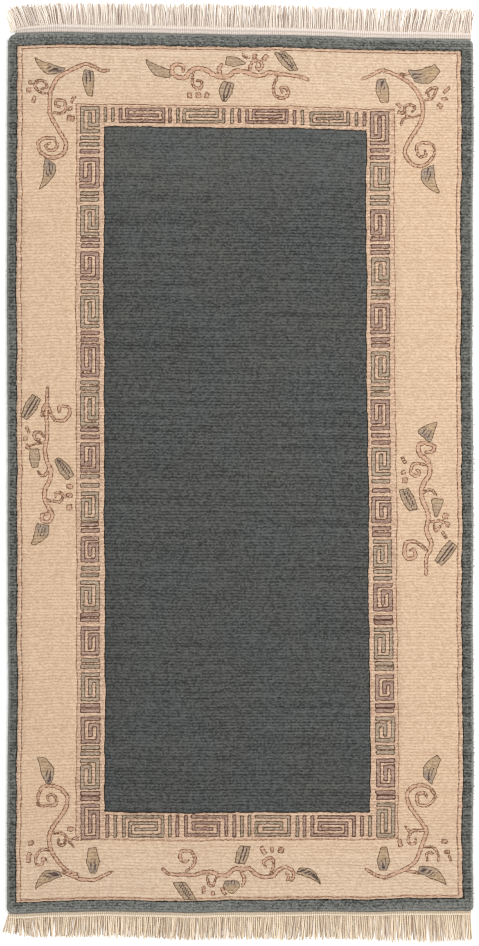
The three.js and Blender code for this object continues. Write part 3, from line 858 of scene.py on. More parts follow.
# Cut wool pile, knotted by hand and clipped level: a soft, matt nap in ribs, lit and shaded in every knot
def makeKnottedWool():
    material, shader = newMaterial("knotted_wool_pile")
    tree = material.node_tree
    place = addNode(tree, "ShaderNodeAttribute", attribute_name="knotPlace").outputs["Vector"]

    def scaled(alongRow, acrossRow):
        scale = (1 / alongRow, 1 / acrossRow, 0)
        return addNode(tree, "ShaderNodeVectorMath", {0: place, 1: scale}, operation="MULTIPLY").outputs[0]

    def noiseAt(where, detail, roughness=0.5, dimensions="2D"):
        settings = {"Vector": where, "Scale": 1, "Detail": detail, "Roughness": roughness}
        return addNode(tree, "ShaderNodeTexNoise", settings, noise_dimensions=dimensions).outputs[0]

    dashes = noiseAt(scaled(*pileFinish["dash"]), 2, 0.6)
    stripes = noiseAt(scaled(*pileFinish["stripe"]), 1)
    fibreScale = (1 / pileFinish["fibre"], 0, 1 / pileFinish["fibre"])
    fibrePlace = addNode(tree, "ShaderNodeVectorMath", {0: place, 1: fibreScale},
                         operation="MULTIPLY").outputs[0]
    fibres = noiseAt(fibrePlace, 3, 0.65, "3D")
    knot = addNode(tree, "ShaderNodeTexVoronoi",
                   {"Vector": scaled(*pileFinish["knot"]), "Scale": 1, "Randomness": 0.7},
                   voronoi_dimensions="2D")
    knotTone = addNode(tree, "ShaderNodeSeparateColor", {0: knot.outputs["Color"]})

    # The outer band has coarser tufts and gets lighter towards both ends, where feet have worn it
    tuftScale = (1 / pileFinish["tuft"], 0, 1 / pileFinish["tuft"])
    tuftPlace = addNode(tree, "ShaderNodeVectorMath", {0: place, 1: tuftScale},
                        operation="MULTIPLY").outputs[0]
    tufts = noiseAt(tuftPlace, 2, 0.7, "3D")
    split = addNode(tree, "ShaderNodeSeparateXYZ", {0: place})
    fromMiddle = addNode(tree, "ShaderNodeMath", {0: split.outputs["Z"]}, operation="ABSOLUTE").outputs[0]
    endBatch, farLighter, nearWorn, bleached = [
        addNode(tree, "ShaderNodeMapRange", {"Value": value, "From Min": pileFinish[name][0],
                                             "From Max": pileFinish[name][1]}).outputs[0]
        for name, value in (("endBatch", fromMiddle), ("farLighter", split.outputs["Z"]),
                            ("nearWorn", split.outputs["Z"]), ("bleached", fromMiddle))
    ]
    patches = noiseAt(scaled(*pileFinish["patch"]), 2, 0.6)
    warm = addNode(tree, "ShaderNodeMapRange",
                   {"Value": patches, "From Min": 0.4, "From Max": 0.6}).outputs[0]

    # Furrow between two ribs, a little wavy: 0 on a rib and 1 in the furrow; the colour is darkened there as
    # painted shade, and the bump sinks there
    waves = addNode(tree, "ShaderNodeMath", {0: dashes, 1: 0.6, 2: -0.3}, operation="MULTIPLY_ADD").outputs[0]
    waved = addNode(tree, "ShaderNodeMath", {0: split.outputs["Y"], 1: waves}, operation="ADD").outputs[0]
    turned = addNode(tree, "ShaderNodeMath", {0: waved, 1: 2 * math.pi}, operation="MULTIPLY").outputs[0]
    wave = addNode(tree, "ShaderNodeMath", {0: turned}, operation="COSINE").outputs[0]
    furrow = addNode(tree, "ShaderNodeMapRange", {"Value": wave, "From Min": 0.1, "From Max": -1},
                     interpolation_type="SMOOTHSTEP").outputs[0]

    # Where a colour ends strays by a knot or less, from one knot to the next
    stray = addNode(tree, "ShaderNodeMath", {0: knotTone.outputs[1], 1: 0.45, 2: fibres},
                    operation="MULTIPLY_ADD")
    stray = addNode(tree, "ShaderNodeMath",
                    {0: stray.outputs[0], 1: pileFinish["wander"], 2: -0.72 * pileFinish["wander"]},
                    operation="MULTIPLY_ADD").outputs[0]

    # A distance attribute as a mask, 0 below one value and 1 above another
    def maskOf(name, low, high, useAbsolute=False, strayShare=1):
        inside = addNode(tree, "ShaderNodeAttribute", attribute_name=name).outputs["Fac"]
        value = addNode(tree, "ShaderNodeMath", {0: stray, 1: strayShare, 2: inside},
                        operation="MULTIPLY_ADD").outputs[0]
        if useAbsolute:
            value = addNode(tree, "ShaderNodeMath", {0: value}, operation="ABSOLUTE").outputs[0]
        return addNode(tree, "ShaderNodeMapRange", {"Value": value, "From Min": low, "From Max": high},
                       interpolation_type="SMOOTHSTEP").outputs[0]

    # A thin line is faint at some of its knots: worn, for a line of yarn, and broken, for the painted shade
    # in a groove
    def patchyLine(name, low, high):
        faintShare = addNode(tree, "ShaderNodeMapRange",
                       {"Value": knotTone.outputs[2], "From Min": 0.1, "From Max": 0.6,
                        "To Min": 0.3}).outputs[0]
        return addNode(tree, "ShaderNodeMath", {0: maskOf(name, low, high, True), 1: faintShare},
                       operation="MULTIPLY").outputs[0]

    soft = 0.35
    outline = pileFinish["outline"]
    violet = addNode(tree, "ShaderNodeAttribute", attribute_name="fretViolet").outputs["Fac"]
    fret = maskOf("fretInside", -soft, soft)
    fretFill = maskOf("fretInside", outline - soft, outline + soft)
    leafFill = maskOf("leafInside", outline - soft, outline + soft)
    violetShare = addNode(tree, "ShaderNodeAttribute", attribute_name="leafViolet").outputs["Fac"]

    def product(a, b):
        return addNode(tree, "ShaderNodeMath", {0: a, 1: b}, operation="MULTIPLY").outputs[0]

    cream = maskOf("guardLine", -soft, soft)
    field = maskOf("fieldLine", -soft, soft)
    layers = [
        ("pinkStripe", maskOf("slateLine", -soft, soft)),
        ("cream", cream),
        ("endCream", product(cream, bleached)),
        ("keyGround", maskOf("bandLine", -soft, soft)),
        ("brownLine", patchyLine("guardLine", 1.3, 0.6)),
        ("brownLine", patchyLine("bandLine", 1.2, 0.5)),
        ("slateField", field),
        ("slateWarm", product(field, warm)),
        # Painted shade: the clipped grooves of the slate line and of the field line are drawn dark
        ("grooveShade", patchyLine("slateLine", 1.4, 0.5)),
        ("grooveShade", maskOf("fieldLine", 1.2, 0.4, True)),
        ("greenEdge", fret),
        ("greenFill", fretFill),
    ]
    # The outline of a vine is broken by knots in the colour of its fill
    vine = maskOf("vineInside", -soft, soft, strayShare=1.4)
    broken = addNode(tree, "ShaderNodeMapRange",
                     {"Value": knotTone.outputs[2], "From Min": 0.66, "From Max": 0.84,
                      "To Max": 0.8}).outputs[0]
    vineFill = addNode(tree, "ShaderNodeMath",
                       {0: product(vine, broken),
                        1: maskOf("vineInside", outline - soft, outline + soft, strayShare=1.4)},
                       operation="MAXIMUM").outputs[0]
    motifs = [
        ("vineEdge", vine),
        ("vineFill", vineFill),
        ("leafEdge", maskOf("leafInside", -soft, soft)),
        ("leafFill", leafFill),
        ("leafDusk", product(leafFill, violetShare)),
        ("veinViolet", maskOf("veinInside", -soft, soft, strayShare=0.4)),
    ]

    def layered(tone):
        colour = toLinear(yarns["slateBand"][tone])
        for yarn, mask in layers:
            colour = addNode(tree, "ShaderNodeMix", {0: mask, 6: colour, 7: toLinear(yarns[yarn][tone])},
                             data_type="RGBA").outputs[2]
        violetYarn = addNode(tree, "ShaderNodeMix", {0: fretFill, 6: toLinear(yarns["violetEdge"][tone]),
                                                     7: toLinear(yarns["violetFill"][tone])},
                             data_type="RGBA").outputs[2]
        colour = addNode(tree, "ShaderNodeMix", {0: product(fret, violet), 6: colour, 7: violetYarn},
                         data_type="RGBA").outputs[2]
        for yarn, mask in motifs:
            colour = addNode(tree, "ShaderNodeMix", {0: mask, 6: colour, 7: toLinear(yarns[yarn][tone])},
                             data_type="RGBA").outputs[2]
        return colour

    # The knot's own tone, the dashes, the fibres and the batch decide how lit the wool is
    def summed(start, parts):
        total = start
        for part, share in parts:
            total = addNode(tree, "ShaderNodeMath", {0: part, 1: share, 2: total},
                            operation="MULTIPLY_ADD").outputs[0]
        return total

    # The rim of the cut edge is lightened as a painted highlight, and the field is finer than the border
    edgeDistance = addNode(tree, "ShaderNodeAttribute", attribute_name="edgeDistance").outputs["Fac"]
    rimHighlight = addNode(tree, "ShaderNodeMapRange",
                     {"Value": edgeDistance, "From Min": 4.5, "From Max": 0}).outputs[0]
    bandLit = summed(0.3, [
        (furrow, 0.16), (dashes, -0.74), (fibres, -0.4), (knotTone.outputs[0], -0.16), (tufts, 0.3),
        (rimHighlight, 1),
        (nearWorn, 0.12), (product(knotTone.outputs[0], endBatch), 0.2), (product(tufts, endBatch), 1.55),
        (product(rimHighlight, endBatch), -0.8), (endBatch, -0.87),
    ])
    fieldLit = summed(-0.06, [(furrow, 0.04), (dashes, -0.28), (fibres, 0.36), (farLighter, 0.17)])
    # Painted shade: the wool is drawn darker in the furrows between ribs and towards the rim of each knot
    lit = summed(-0.68, [
        (knotTone.outputs[0], 0.64), (dashes, 0.72), (fibres, 1), (stripes, 0.5), (furrow, -0.36),
        (knot.outputs["Distance"], -0.3), (product(bandLit, maskOf("slateLine", soft, -soft)), 1),
        (product(fieldLit, field), 1), (endBatch, 0.24),
    ])
    lit = addNode(tree, "ShaderNodeClamp", {0: lit}).outputs[0]
    colour = addNode(tree, "ShaderNodeMix", {0: lit, 6: layered(0), 7: layered(1)},
                     data_type="RGBA").outputs[2]
    tree.links.new(colour, shader.inputs["Base Color"])

    # Knots stand out of the furrows, and the wool lies deeper along each outline, where it was clipped
    height = addNode(tree, "ShaderNodeMath", {0: fibres, 1: 0.7, 2: dashes},
                     operation="MULTIPLY_ADD").outputs[0]
    height = addNode(tree, "ShaderNodeMath", {0: furrow, 1: -0.35, 2: height},
                     operation="MULTIPLY_ADD").outputs[0]
    for name in ("fretInside", "vineInside", "leafInside"):
        clipped = maskOf(name, 1.1, 0.2, True)
        height = addNode(tree, "ShaderNodeMath", {0: clipped, 1: -0.4, 2: height},
                         operation="MULTIPLY_ADD").outputs[0]
    bump = addNode(tree, "ShaderNodeBump",
                   {"Strength": 0.9, "Distance": pileFinish["bump"], "Height": height})
    tree.links.new(bump.outputs[0], shader.inputs["Normal"])
    shader.inputs["Roughness"].default_value = 0.92
    shader.inputs["IOR"].default_value = 1.55
    shader.inputs["Specular IOR Level"].default_value = 0.15
    shader.inputs["Sheen Weight"].default_value = 0.12
    shader.inputs["Sheen Roughness"].default_value = 0.5
    return material


backFinish = {
    "knot": (0.0032, 0.0023),  # m across the rug and along it, size of one knot
    "colours": ("#6d675d", "#a1988a"),
    "bump": 0.0006,
}


# Woven back of the cloth: cotton foundation with the backs of the knots, dull and finely ribbed
def makeKnottedBack():
    material, shader = newMaterial("knotted_cotton_back")
    tree = material.node_tree
    place = addNode(tree, "ShaderNodeTexCoord").outputs["Object"]
    knotScale = (1 / backFinish["knot"][0], 1 / backFinish["knot"][1], 1)
    knots = addNode(tree, "ShaderNodeVectorMath", {0: place, 1: knotScale}, operation="MULTIPLY").outputs[0]
    grain = addNode(tree, "ShaderNodeTexNoise", {"Vector": knots, "Scale": 1, "Detail": 1}).outputs[0]
    shaded, lit = backFinish["colours"]
    colour = addNode(tree, "ShaderNodeMix", {0: grain, 6: toLinear(shaded), 7: toLinear(lit)},
                     data_type="RGBA").outputs[2]
    bump = addNode(tree, "ShaderNodeBump", {"Strength": 0.6, "Distance": backFinish["bump"], "Height": grain})
    tree.links.new(colour, shader.inputs["Base Color"])
    tree.links.new(bump.outputs[0], shader.inputs["Normal"])
    shader.inputs["Roughness"].default_value = 0.95
    shader.inputs["Specular IOR Level"].default_value = 0.15
    return material


pile.data.materials.append(makeKnottedWool())
pile.data.materials.append(makeKnottedBack())
for polygon in pile.data.polygons[wallFaces:]:
    polygon.material_index = 1
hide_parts("pile_field")

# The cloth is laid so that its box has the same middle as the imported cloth
clothLow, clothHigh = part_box("pile_field")
outline = points[rim, :2]
clothMiddle = np.array([(clothLow[i] + clothHigh[i]) / 2 / millimetre for i in (0, 1)])
shift = clothMiddle - (outline.min(0) + outline.max(0)) / 2
print("rug: shift to the packed frame", shift.round(2).tolist())


def layInPlace(piece):
    piece.data.transform(((1, 0, 0, shift[0] * millimetre), (0, 1, 0, shift[1] * millimetre),
                          (0, 0, 1, 0), (0, 0, 0, 1)))


layInPlace(pile)

# The fringes

fringe = {
    "strands": 226,
    "roots": {"far": (-337, 347), "near": (-350, 347)},  # mm, the first and last strand
    # first and last root, and number, of more strands at the left corner
    "fan": {"far": (-345, -338, 9), "near": (-350, -347, 2)},
    "gapToCloth": 0.3,
    "rootInsideWeb": 0.5,
    "plyRadius": 0.56,
    "plyApart": 0.48,
    "plySides": 5,
    "twist": 7,  # mm of strand to one turn of its two plies
    "stepLength": 1.25,
    "clump": 13,  # mm between the places where strands gather
    "clumpPull": 0.08,
    "lengthScatter": 3,
    "leanScatter": 2.3,
    # mm, shortest and longest run of strands that lean alike, and how far they lean
    "leanWave": (14, 60, 0.9),
    "underStrands": 600,  # shaded strands that lie under the others
    "underLength": (0.9, 1),  # their length as a share of the others'
    "underRadius": 0.8,
    # x, depth of the flat-woven web, reach of the strands past the pile and their lean to the right
    "far": [
        (-346, 2.5, 16, -3), (-343, 3.5, 30, -6), (-340, 5, 36, -9), (-335, 7.5, 39, -12.5),
        (-328, 10.5, 41.5, -15), (-318, 12, 44, -15), (-300, 13.4, 45, -11), (-270, 14, 46, -7),
        (-240, 13.8, 45.5, -3), (-203, 13.6, 47.5, -2), (-153, 13.6, 46.8, 1.5), (-90, 13.6, 47, -2.2),
        (-50, 13.5, 48.5, 0.8), (40, 13.4, 47.8, 2), (75, 13.2, 47.3, -1), (135, 13, 47, 1),
        (195, 12.2, 47.5, 2), (245, 12, 47.8, 5), (290, 12, 48.3, 9), (325, 11.5, 47.5, 9),
        (340, 11, 47, 5), (348, 11, 46.5, 1.5),
    ],
    "near": [
        (-351, 9, 29.5, -5), (-335, 9, 34, -2), (-325, 9, 36.5, 3), (-312, 9, 38.5, 6), (-290, 9, 39.7, 0),
        (-255, 9.2, 40.7, -2.5), (-180, 9.2, 41.5, -1.5), (-60, 9.2, 42.8, -2.5), (30, 9.2, 43.5, -1.5),
        (75, 8.4, 44.3, -3), (130, 8, 44, 0), (200, 8, 45, 1), (240, 8, 48.3, 0), (290, 8, 49.3, 4),
        (323, 8, 48, 5.5), (348, 8, 46.5, 1.5),
    ],
}


# Level directions square to a line of points, one at each point
def besideLine(line):
    heading = np.gradient(line[:, :2], axis=0)
    heading /= np.linalg.norm(heading, axis=1, keepdims=True)
    return np.stack([heading[:, 1], -heading[:, 0], np.zeros(len(line))], 1)


# A bundle of tubes along middle lines, each as points, a radius at every point and one tone
def tubeMesh(name, node, tubes, sides):
    points, faces, tones = [], [], []
    angles = np.arange(sides) * 2 * math.pi / sides
    start = 0
    for middle, radius, tone in tubes:
        side = besideLine(middle)
        rings = middle[:, None, :] + radius[:, None, None] * (
            np.cos(angles)[None, :, None] * side[:, None, :]
            + np.sin(angles)[None, :, None] * np.array([0, 0, 1]))
        rings[..., 2] = np.maximum(rings[..., 2], 0.02)
        points.append(rings.reshape(-1, 3))
        for k in range(len(middle) - 1):
            for s in range(sides):
                a, b = start + k * sides + s, start + k * sides + (s + 1) % sides
                faces.append([a, a + sides, b + sides, b])
        last = start + (len(middle) - 1) * sides
        faces.append([start + s for s in range(sides)])
        faces.append([last + s for s in range(sides)][::-1])
        tones.append(np.full(rings.shape[0] * sides, tone))
        start += rings.shape[0] * sides
    piece = newPiece(name, np.vstack(points), faces)
    giveAttribute(piece, "strandTone", np.concatenate(tones))
    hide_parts(node)
    layInPlace(piece)
    return piece


# Two-ply cotton strands of one end, from inside the web to their tips on the floor, over strands painted
# darker as shade
def makeStrands(end, node, edge, table, outward, seed):
    random = np.random.default_rng(seed)
    plies, under = [], []
    first, last = fringe["roots"][end]
    roots = np.append(np.linspace(first, last, fringe["strands"]), np.linspace(*fringe["fan"][end]))
    shortRun, longRun, leanReach = fringe["leanWave"]

    def middleLine(rootX, length, base, lift):
        web = readTable(table, 1, rootX)
        reach = readTable(table, 2, rootX) * length + random.uniform(-0.5, 0.5) * fringe["lengthScatter"]
        gather = (rootX / fringe["clump"] + 0.25 * math.sin(rootX / 31)) % 1 - 0.5
        lean = (readTable(table, 3, rootX) - gather * 2 * fringe["clumpPull"]
                + leanReach * slowWaves(rootX, 0, shortRun, longRun, seed)
                + random.normal(0, fringe["leanScatter"]))
        t = np.linspace(0, 1, max(8, int(round(reach / fringe["stepLength"]))) + 1)
        span = reach - web * fringe["rootInsideWeb"] - fringe["gapToCloth"]
        sway = random.uniform(-0.8, 0.8) * np.sin(t * math.pi * random.uniform(1.2, 2.4))
        x = rootX + lean * length * t ** 1.3 + sway * t
        y = edge(rootX) + outward * (fringe["gapToCloth"] + web * fringe["rootInsideWeb"] + span * t)
        z = base + lift * np.sin(t * math.pi) ** 2 * random.uniform(0, 1) + 0.5 * (1 - t) ** 4
        return t, span, np.stack([x, y, z], 1)

    for root in roots:
        rootX = root + random.uniform(-0.4, 0.4)
        t, span, middle = middleLine(rootX, 1, fringe["plyRadius"] + fringe["plyApart"], 1.6)
        side = besideLine(middle)
        turn = random.uniform(0, 2 * math.pi) + 2 * math.pi * span * t / fringe["twist"]
        opening = 1 + np.clip((t - 0.86) / 0.14, 0, 1) * random.uniform(0, 1)  # plies part at the cut end
        radius = fringe["plyRadius"] * (1 - 0.6 * np.clip((t - 0.88) / 0.12, 0, 1))
        tone = random.uniform(0.4, 1)
        for ply in (0, math.pi):
            apart = fringe["plyApart"] * opening
            core = (middle + side * (apart * np.cos(turn + ply))[:, None]
                    + np.array([0, 0, 1]) * (apart * np.sin(turn + ply))[:, None])
            plies.append((core, radius, tone))
    # The under strands take a low tone: painted shade in the gaps between the strands above
    for rootX in np.linspace(first, last, fringe["underStrands"]):
        t, span, middle = middleLine(rootX, random.uniform(*fringe["underLength"]), fringe["underRadius"], 0)
        under.append((middle[::2], fringe["underRadius"] * (1 - 0.6 * t[::2] ** 4), random.uniform(0, 0.55)))
    return [tubeMesh("fringe_strands_" + end, node, plies, fringe["plySides"]),
            tubeMesh("fringe_under_strands_" + end, node, under, 4)]


webWeave = {
    "ends": {"far": (-338, 347.5), "near": (-349, 347.5)},
    "warp": 3.08,  # mm between warps
    "ribs": 2,
    "height": 2.9,
    "furrow": 0.5,
    "pinch": 0.35,
}


# Flat-woven web at the root of the fringe: ribs of weft packed over the warps
def makeWeb(end, node, edge, table, outward):
    first, last = webWeave["ends"][end]
    stations = int((last - first) / (webWeave["warp"] / 2))
    x = np.linspace(first, last, stations + 1)
    start = edge(x) + outward * fringe["gapToCloth"]
    depth = readTable(table, 1, x)
    across = np.linspace(0, 1, 13)
    rib = np.abs(np.sin(across * math.pi * webWeave["ribs"]))
    shoulder = np.clip(np.minimum(across, 1 - across) / 0.08, 0, 1) ** 0.5
    points = []
    for k, (place, bulge, round_) in enumerate(zip(across, rib, shoulder)):
        overUnder = np.where((np.arange(stations + 1) + (k // 3)) % 2 == 0, 0.5, -0.5) * webWeave["pinch"]
        height = webWeave["height"] - webWeave["furrow"] * (1 - bulge) + overUnder * bulge
        height = 0.5 + (height - 0.5) * round_
        wander = 0.35 * slowWaves(x, place * 3, 12, 90, 8) * (0.3 if place in (0, 1) else 1)
        y = start + outward * (place * depth + np.clip(wander, -place * depth, None))
        points.append(np.stack([x, y, height], 1))
    low = [np.stack([x, start + outward * place * depth, np.zeros(stations + 1)], 1) for place in (1, 0)]
    rings = np.stack(points + low, 1)
    count = rings.shape[1]
    faces = []
    for i in range(stations):
        for k in range(count):
            a, b = i * count + k, i * count + (k + 1) % count
            quad = [a, b, b + count, a + count]
            faces.append(quad if outward < 0 else quad[::-1])
    firstCap = list(range(count))
    lastCap = [stations * count + k for k in range(count)]
    faces.append(firstCap[::-1] if outward < 0 else firstCap)
    faces.append(lastCap if outward < 0 else lastCap[::-1])
    piece = newPiece("fringe_web_" + end, rings.reshape(-1, 3), faces)
    alongWeb = np.repeat(x, count)
    acrossWeb = np.tile(np.concatenate([across, [1, 0]]), stations + 1)
    giveAttribute(piece, "webPlace", np.stack([alongWeb, acrossWeb, np.zeros(len(alongWeb))], 1))
    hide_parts(node)
    layInPlace(piece)
    return piece


# Undyed cotton as a shaded and a lit colour, still fresh at the far end and yellowed by wear at the near end
cottonColours = {
    "yarn": {"fresh": ("#7a5439", "#fdf2e4"), "yellowed": ("#7b5230", "#fdecd2")},
    "web": {"fresh": ("#bfb0a5", "#e9dcd1"), "yellowed": ("#cdb598", "#fcebd4")},
}


def agedCotton(tree, objectPlace, lit, kind):
    lengthwise = addNode(tree, "ShaderNodeSeparateXYZ", {0: objectPlace}).outputs["Y"]
    age = addNode(tree, "ShaderNodeMapRange",
                  {"Value": lengthwise, "From Min": 0.5, "From Max": -0.5}).outputs[0]
    shades = [addNode(tree, "ShaderNodeMix", {0: lit, 6: toLinear(shade), 7: toLinear(tint)},
                      data_type="RGBA").outputs[2] for shade, tint in cottonColours[kind].values()]
    return addNode(tree, "ShaderNodeMix", {0: age, 6: shades[0], 7: shades[1]}, data_type="RGBA").outputs[2]


# Undyed cotton warp, two plies twisted: pale, matt, each strand a little warmer or cooler than the next
def makeCottonYarn():
    material, shader = newMaterial("twisted_cotton_warp")
    tree = material.node_tree
    place = addNode(tree, "ShaderNodeTexCoord").outputs["Object"]
    fibres = addNode(tree, "ShaderNodeTexNoise",
                     {"Vector": place, "Scale": 1 / 0.0009, "Detail": 2}).outputs[0]
    tone = addNode(tree, "ShaderNodeAttribute", attribute_name="strandTone").outputs["Fac"]
    mixed = addNode(tree, "ShaderNodeMath", {0: fibres, 1: 2, 2: tone}, operation="MULTIPLY_ADD").outputs[0]
    lit = addNode(tree, "ShaderNodeMapRange", {"Value": mixed, "From Min": 0.8, "From Max": 1.8}).outputs[0]
    colour = agedCotton(tree, place, lit, "yarn")
    bump = addNode(tree, "ShaderNodeBump", {"Strength": 0.6, "Distance": 0.0004, "Height": fibres})
    tree.links.new(colour, shader.inputs["Base Color"])
    tree.links.new(bump.outputs[0], shader.inputs["Normal"])
    shader.inputs["Roughness"].default_value = 0.88
    shader.inputs["Specular IOR Level"].default_value = 0.2
    shader.inputs["Sheen Weight"].default_value = 0.15
    return material


# The same cotton woven flat and beaten tight: weft ribs, with the furrow between them darkened as painted
# shade
def makeCottonWeb():
    material, shader = newMaterial("woven_cotton_web")
    tree = material.node_tree
    place = addNode(tree, "ShaderNodeAttribute", attribute_name="webPlace").outputs["Vector"]
    split = addNode(tree, "ShaderNodeSeparateXYZ", {0: place})
    # Painted shade: the colour is darker in the furrows between the weft ribs
    ribPhase = addNode(tree, "ShaderNodeMath", {0: split.outputs["Y"], 1: math.pi * webWeave["ribs"]},
                       operation="MULTIPLY").outputs[0]
    ribWave = addNode(tree, "ShaderNodeMath", {0: ribPhase}, operation="SINE").outputs[0]
    ribLit = addNode(tree, "ShaderNodeMath", {0: ribWave}, operation="ABSOLUTE").outputs[0]
    warpScale = (1 / webWeave["warp"], 5, 0)
    warpPlace = addNode(tree, "ShaderNodeVectorMath", {0: place, 1: warpScale},
                        operation="MULTIPLY").outputs[0]
    loops = addNode(tree, "ShaderNodeTexNoise", {"Vector": warpPlace, "Scale": 1, "Detail": 2}).outputs[0]
    stitchPhase = addNode(tree, "ShaderNodeMath", {0: split.outputs["X"], 1: 2 * math.pi / webWeave["warp"]},
                          operation="MULTIPLY").outputs[0]
    stitches = addNode(tree, "ShaderNodeMath", {0: stitchPhase}, operation="SINE").outputs[0]
    # The web is drawn darker towards the pile side
    pileSideDark = addNode(tree, "ShaderNodeMapRange",
                     {"Value": split.outputs["Y"], "From Min": 0.6, "From Max": 0}).outputs[0]
    mixed = addNode(tree, "ShaderNodeMath", {0: loops, 1: ribLit}, operation="MULTIPLY").outputs[0]
    for part, share in ((stitches, 0.2), (pileSideDark, -0.18)):
        mixed = addNode(tree, "ShaderNodeMath", {0: part, 1: share, 2: mixed},
                        operation="MULTIPLY_ADD").outputs[0]
    lit = addNode(tree, "ShaderNodeMapRange", {"Value": mixed, "From Min": 0, "From Max": 0.62}).outputs[0]
    colour = agedCotton(tree, addNode(tree, "ShaderNodeTexCoord").outputs["Object"], lit, "web")
    bump = addNode(tree, "ShaderNodeBump", {"Strength": 0.8, "Distance": 0.0008, "Height": loops})
    tree.links.new(colour, shader.inputs["Base Color"])
    tree.links.new(bump.outputs[0], shader.inputs["Normal"])
    shader.inputs["Roughness"].default_value = 0.9
    shader.inputs["Specular IOR Level"].default_value = 0.2
    return material


print("rug: making the webs and fringes")
cottonYarn, cottonWeb = makeCottonYarn(), makeCottonWeb()
strandPieces = (makeStrands("far", "fringe_far", farEdge, fringe["far"], 1, 21)
                + makeStrands("near", "fringe_near", nearEdge, fringe["near"], -1, 22))
farWeb = makeWeb("far", "fringe_far", farEdge, fringe["far"], 1)
nearWeb = makeWeb("near", "fringe_near", nearEdge, fringe["near"], -1)
for piece in strandPieces:
    piece.data.materials.append(cottonYarn)
for piece in (farWeb, nearWeb):
    piece.data.materials.append(cottonWeb)

# Loose tufts at the cut edge

tuft = {
    "spacing": 0.6,  # mm along the edge from tuft to tuft
    "length": (2, 6),
    "rightMore": 0.35,  # the right side is rubbed looser than the others
    "width": 0.55,
    "spread": 0.9,
    "colours": ("#868885", "#cbcbc6"),
}


# Ends of wool yarn that stand out of the cut side of the pile, each a slim three-sided spike
def makeEdgeTufts():
    random = np.random.default_rng(31)
    rimSpots = points[rim, :2]
    nextSpots = np.roll(rimSpots, -1, 0)
    runs = np.linalg.norm(nextSpots - rimSpots, axis=1)
    ends = np.cumsum(runs)
    places = np.arange(0, ends[-1], tuft["spacing"])
    places = places + random.uniform(-0.5, 0.5, len(places)) * tuft["spacing"]
    index = np.clip(np.searchsorted(ends, places), 0, len(runs) - 1)
    share = 1 - (ends[index] - places) / np.maximum(runs[index], 1e-6)
    base = rimSpots[index] + (nextSpots - rimSpots)[index] * np.clip(share, 0, 1)[:, None]
    out = -inward[index]
    height = random.uniform(2.5, 11, len(places))
    insets = np.interp(height, *zip(*[(z, inset) for inset, z in cloth["roundedEdge"]]))
    root = np.hstack([base - out * (insets + 0.5)[:, None], height[:, None]])
    along = np.stack([-out[:, 1], out[:, 0]], 1)
    swing = random.normal(0, tuft["spread"], len(places))
    aim = np.hstack([out + along * swing[:, None], random.uniform(-0.5, 0.9, (len(places), 1))])
    aim /= np.linalg.norm(aim, axis=1, keepdims=True)
    length = random.uniform(*tuft["length"], len(places)) * (1 + tuft["rightMore"] * np.clip(out[:, 0], 0, 1))
    tip = root + aim * length[:, None]
    tip[:, 2] = np.clip(tip[:, 2], 0.3, cloth["thickness"] + 0.6)
    sideways = np.hstack([along, np.zeros((len(places), 1))]) * tuft["width"] / 2
    upwards = np.array([0, 0, tuft["width"] / 2])
    corners = [root + sideways - upwards, root - sideways - upwards, root + upwards * 1.4, tip]
    spikes = np.stack(corners, 1).reshape(-1, 3)
    faces = []
    for i in range(len(places)):
        a, b, c, d = range(4 * i, 4 * i + 4)
        faces += [[a, c, b], [a, b, d], [b, c, d], [c, a, d]]
    piece = newPiece("pile_edge_tufts", spikes, faces)
    giveAttribute(piece, "tuftTone", np.repeat(random.uniform(0, 1, len(places)), 4))
    layInPlace(piece)
    return piece


# The slate yarn of the outer band where its cut ends catch the light
def makeLooseWool():
    material, shader = newMaterial("loose_wool_ends")
    tree = material.node_tree
    tone = addNode(tree, "ShaderNodeAttribute", attribute_name="tuftTone").outputs["Fac"]
    shaded, lit = tuft["colours"]
    colour = addNode(tree, "ShaderNodeMix", {0: tone, 6: toLinear(shaded), 7: toLinear(lit)},
                     data_type="RGBA").outputs[2]
    tree.links.new(colour, shader.inputs["Base Color"])
    shader.inputs["Roughness"].default_value = 0.92
    shader.inputs["Specular IOR Level"].default_value = 0.15
    shader.inputs["Sheen Weight"].default_value = 0.12
    return material


edgeTufts = makeEdgeTufts()
edgeTufts.data.materials.append(makeLooseWool())

# The studio: an opal light table as the floor, soft light from above and a camera straight over the rug

print("rug: floor, light and camera")
studio = {
    "floorColour": "#f8f7f5",
    "floorGlow": 0.36,  # light that comes up through the table, so that hardly a shadow is left on it
    "floorSize": 60000,
    "floorHeight": -0.4,
    "skyStrength": 0.76,
    "lampPower": 69,
    "lampSize": 3,
    "lampPlace": (1.6, 0.87, 2.6),
    "lens": 150,
    "frameHeight": 946,  # pixels of the picture
    "middleX": -2,  # mm, the point of the rug under the middle of the picture
    "middleY": 0.45,
    "planeHeight": 9,  # mm, where one pixel of the photo is one pixel of the picture
    "pixelFilter": 1,  # pixels, for a picture as crisp as a product photo
}

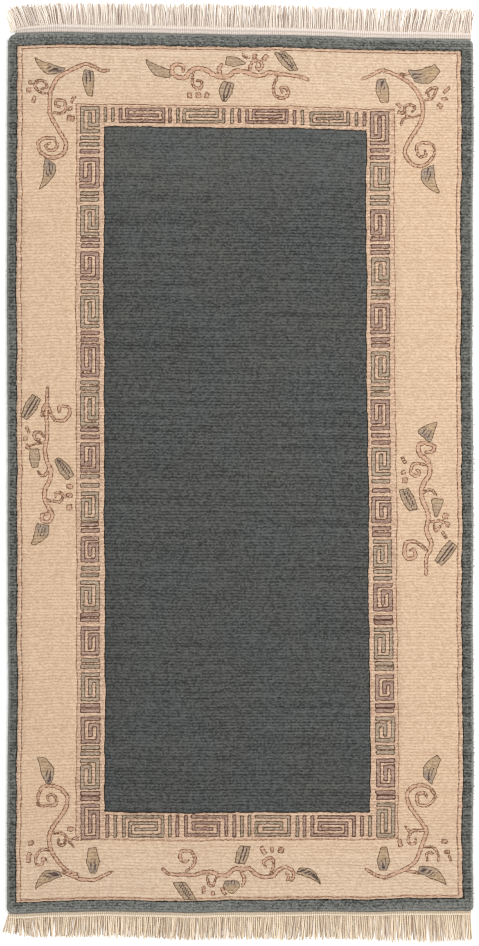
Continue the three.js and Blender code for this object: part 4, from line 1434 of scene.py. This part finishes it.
floorReach = studio["floorSize"] / 2 * millimetre
floorMesh = bpy.data.meshes.new("studio_floor")
floorCorners = [(signX * floorReach, signY * floorReach, studio["floorHeight"] * millimetre)
                for signX, signY in ((-1, -1), (1, -1), (1, 1), (-1, 1))]
floorMesh.from_pydata(floorCorners, [], [[0, 1, 2, 3]])
floor = bpy.data.objects.new("studio_floor", floorMesh)
bpy.context.scene.collection.objects.link(floor)
opal, tableShader = newMaterial("opal_acrylic_table")
tableShader.inputs["Base Color"].default_value = toLinear(studio["floorColour"])
tableShader.inputs["Roughness"].default_value = 0.9
tableShader.inputs["Emission Color"].default_value = (1, 1, 1, 1)
tableShader.inputs["Emission Strength"].default_value = studio["floorGlow"]
floorMesh.materials.append(opal)

world = bpy.data.worlds.new("soft_studio")
bpy.context.scene.world = world
world.use_nodes = True
sky = world.node_tree.nodes["Background"]
sky.inputs["Color"].default_value = (1, 1, 1, 1)
sky.inputs["Strength"].default_value = studio["skyStrength"]

lamp = bpy.data.lights.new("soft_box", "AREA")
lamp.shape = "DISK"
lamp.size = studio["lampSize"]
lamp.energy = studio["lampPower"]
lampObject = bpy.data.objects.new("soft_box", lamp)
bpy.context.scene.collection.objects.link(lampObject)
lampObject.location = studio["lampPlace"]
lampObject.rotation_mode = "QUATERNION"
lampObject.rotation_quaternion = (-lampObject.location).to_track_quat("-Z", "Y")

cameraData = bpy.data.cameras.new("overhead")
cameraData.lens = studio["lens"]
cameraData.sensor_width = 36
camera = bpy.data.objects.new("overhead", cameraData)
bpy.context.scene.collection.objects.link(camera)
tallSide = studio["frameHeight"] * pixelSize * millimetre
distance = tallSide / cameraData.sensor_width * cameraData.lens
camera.location = ((studio["middleX"] + shift[0]) * millimetre, (studio["middleY"] + shift[1]) * millimetre,
                   studio["planeHeight"] * millimetre + distance)
cameraData.clip_end = 100
bpy.context.scene.camera = camera
bpy.context.scene.view_settings.view_transform = "Standard"
bpy.context.scene.cycles.filter_width = studio["pixelFilter"]

print("rug: done")
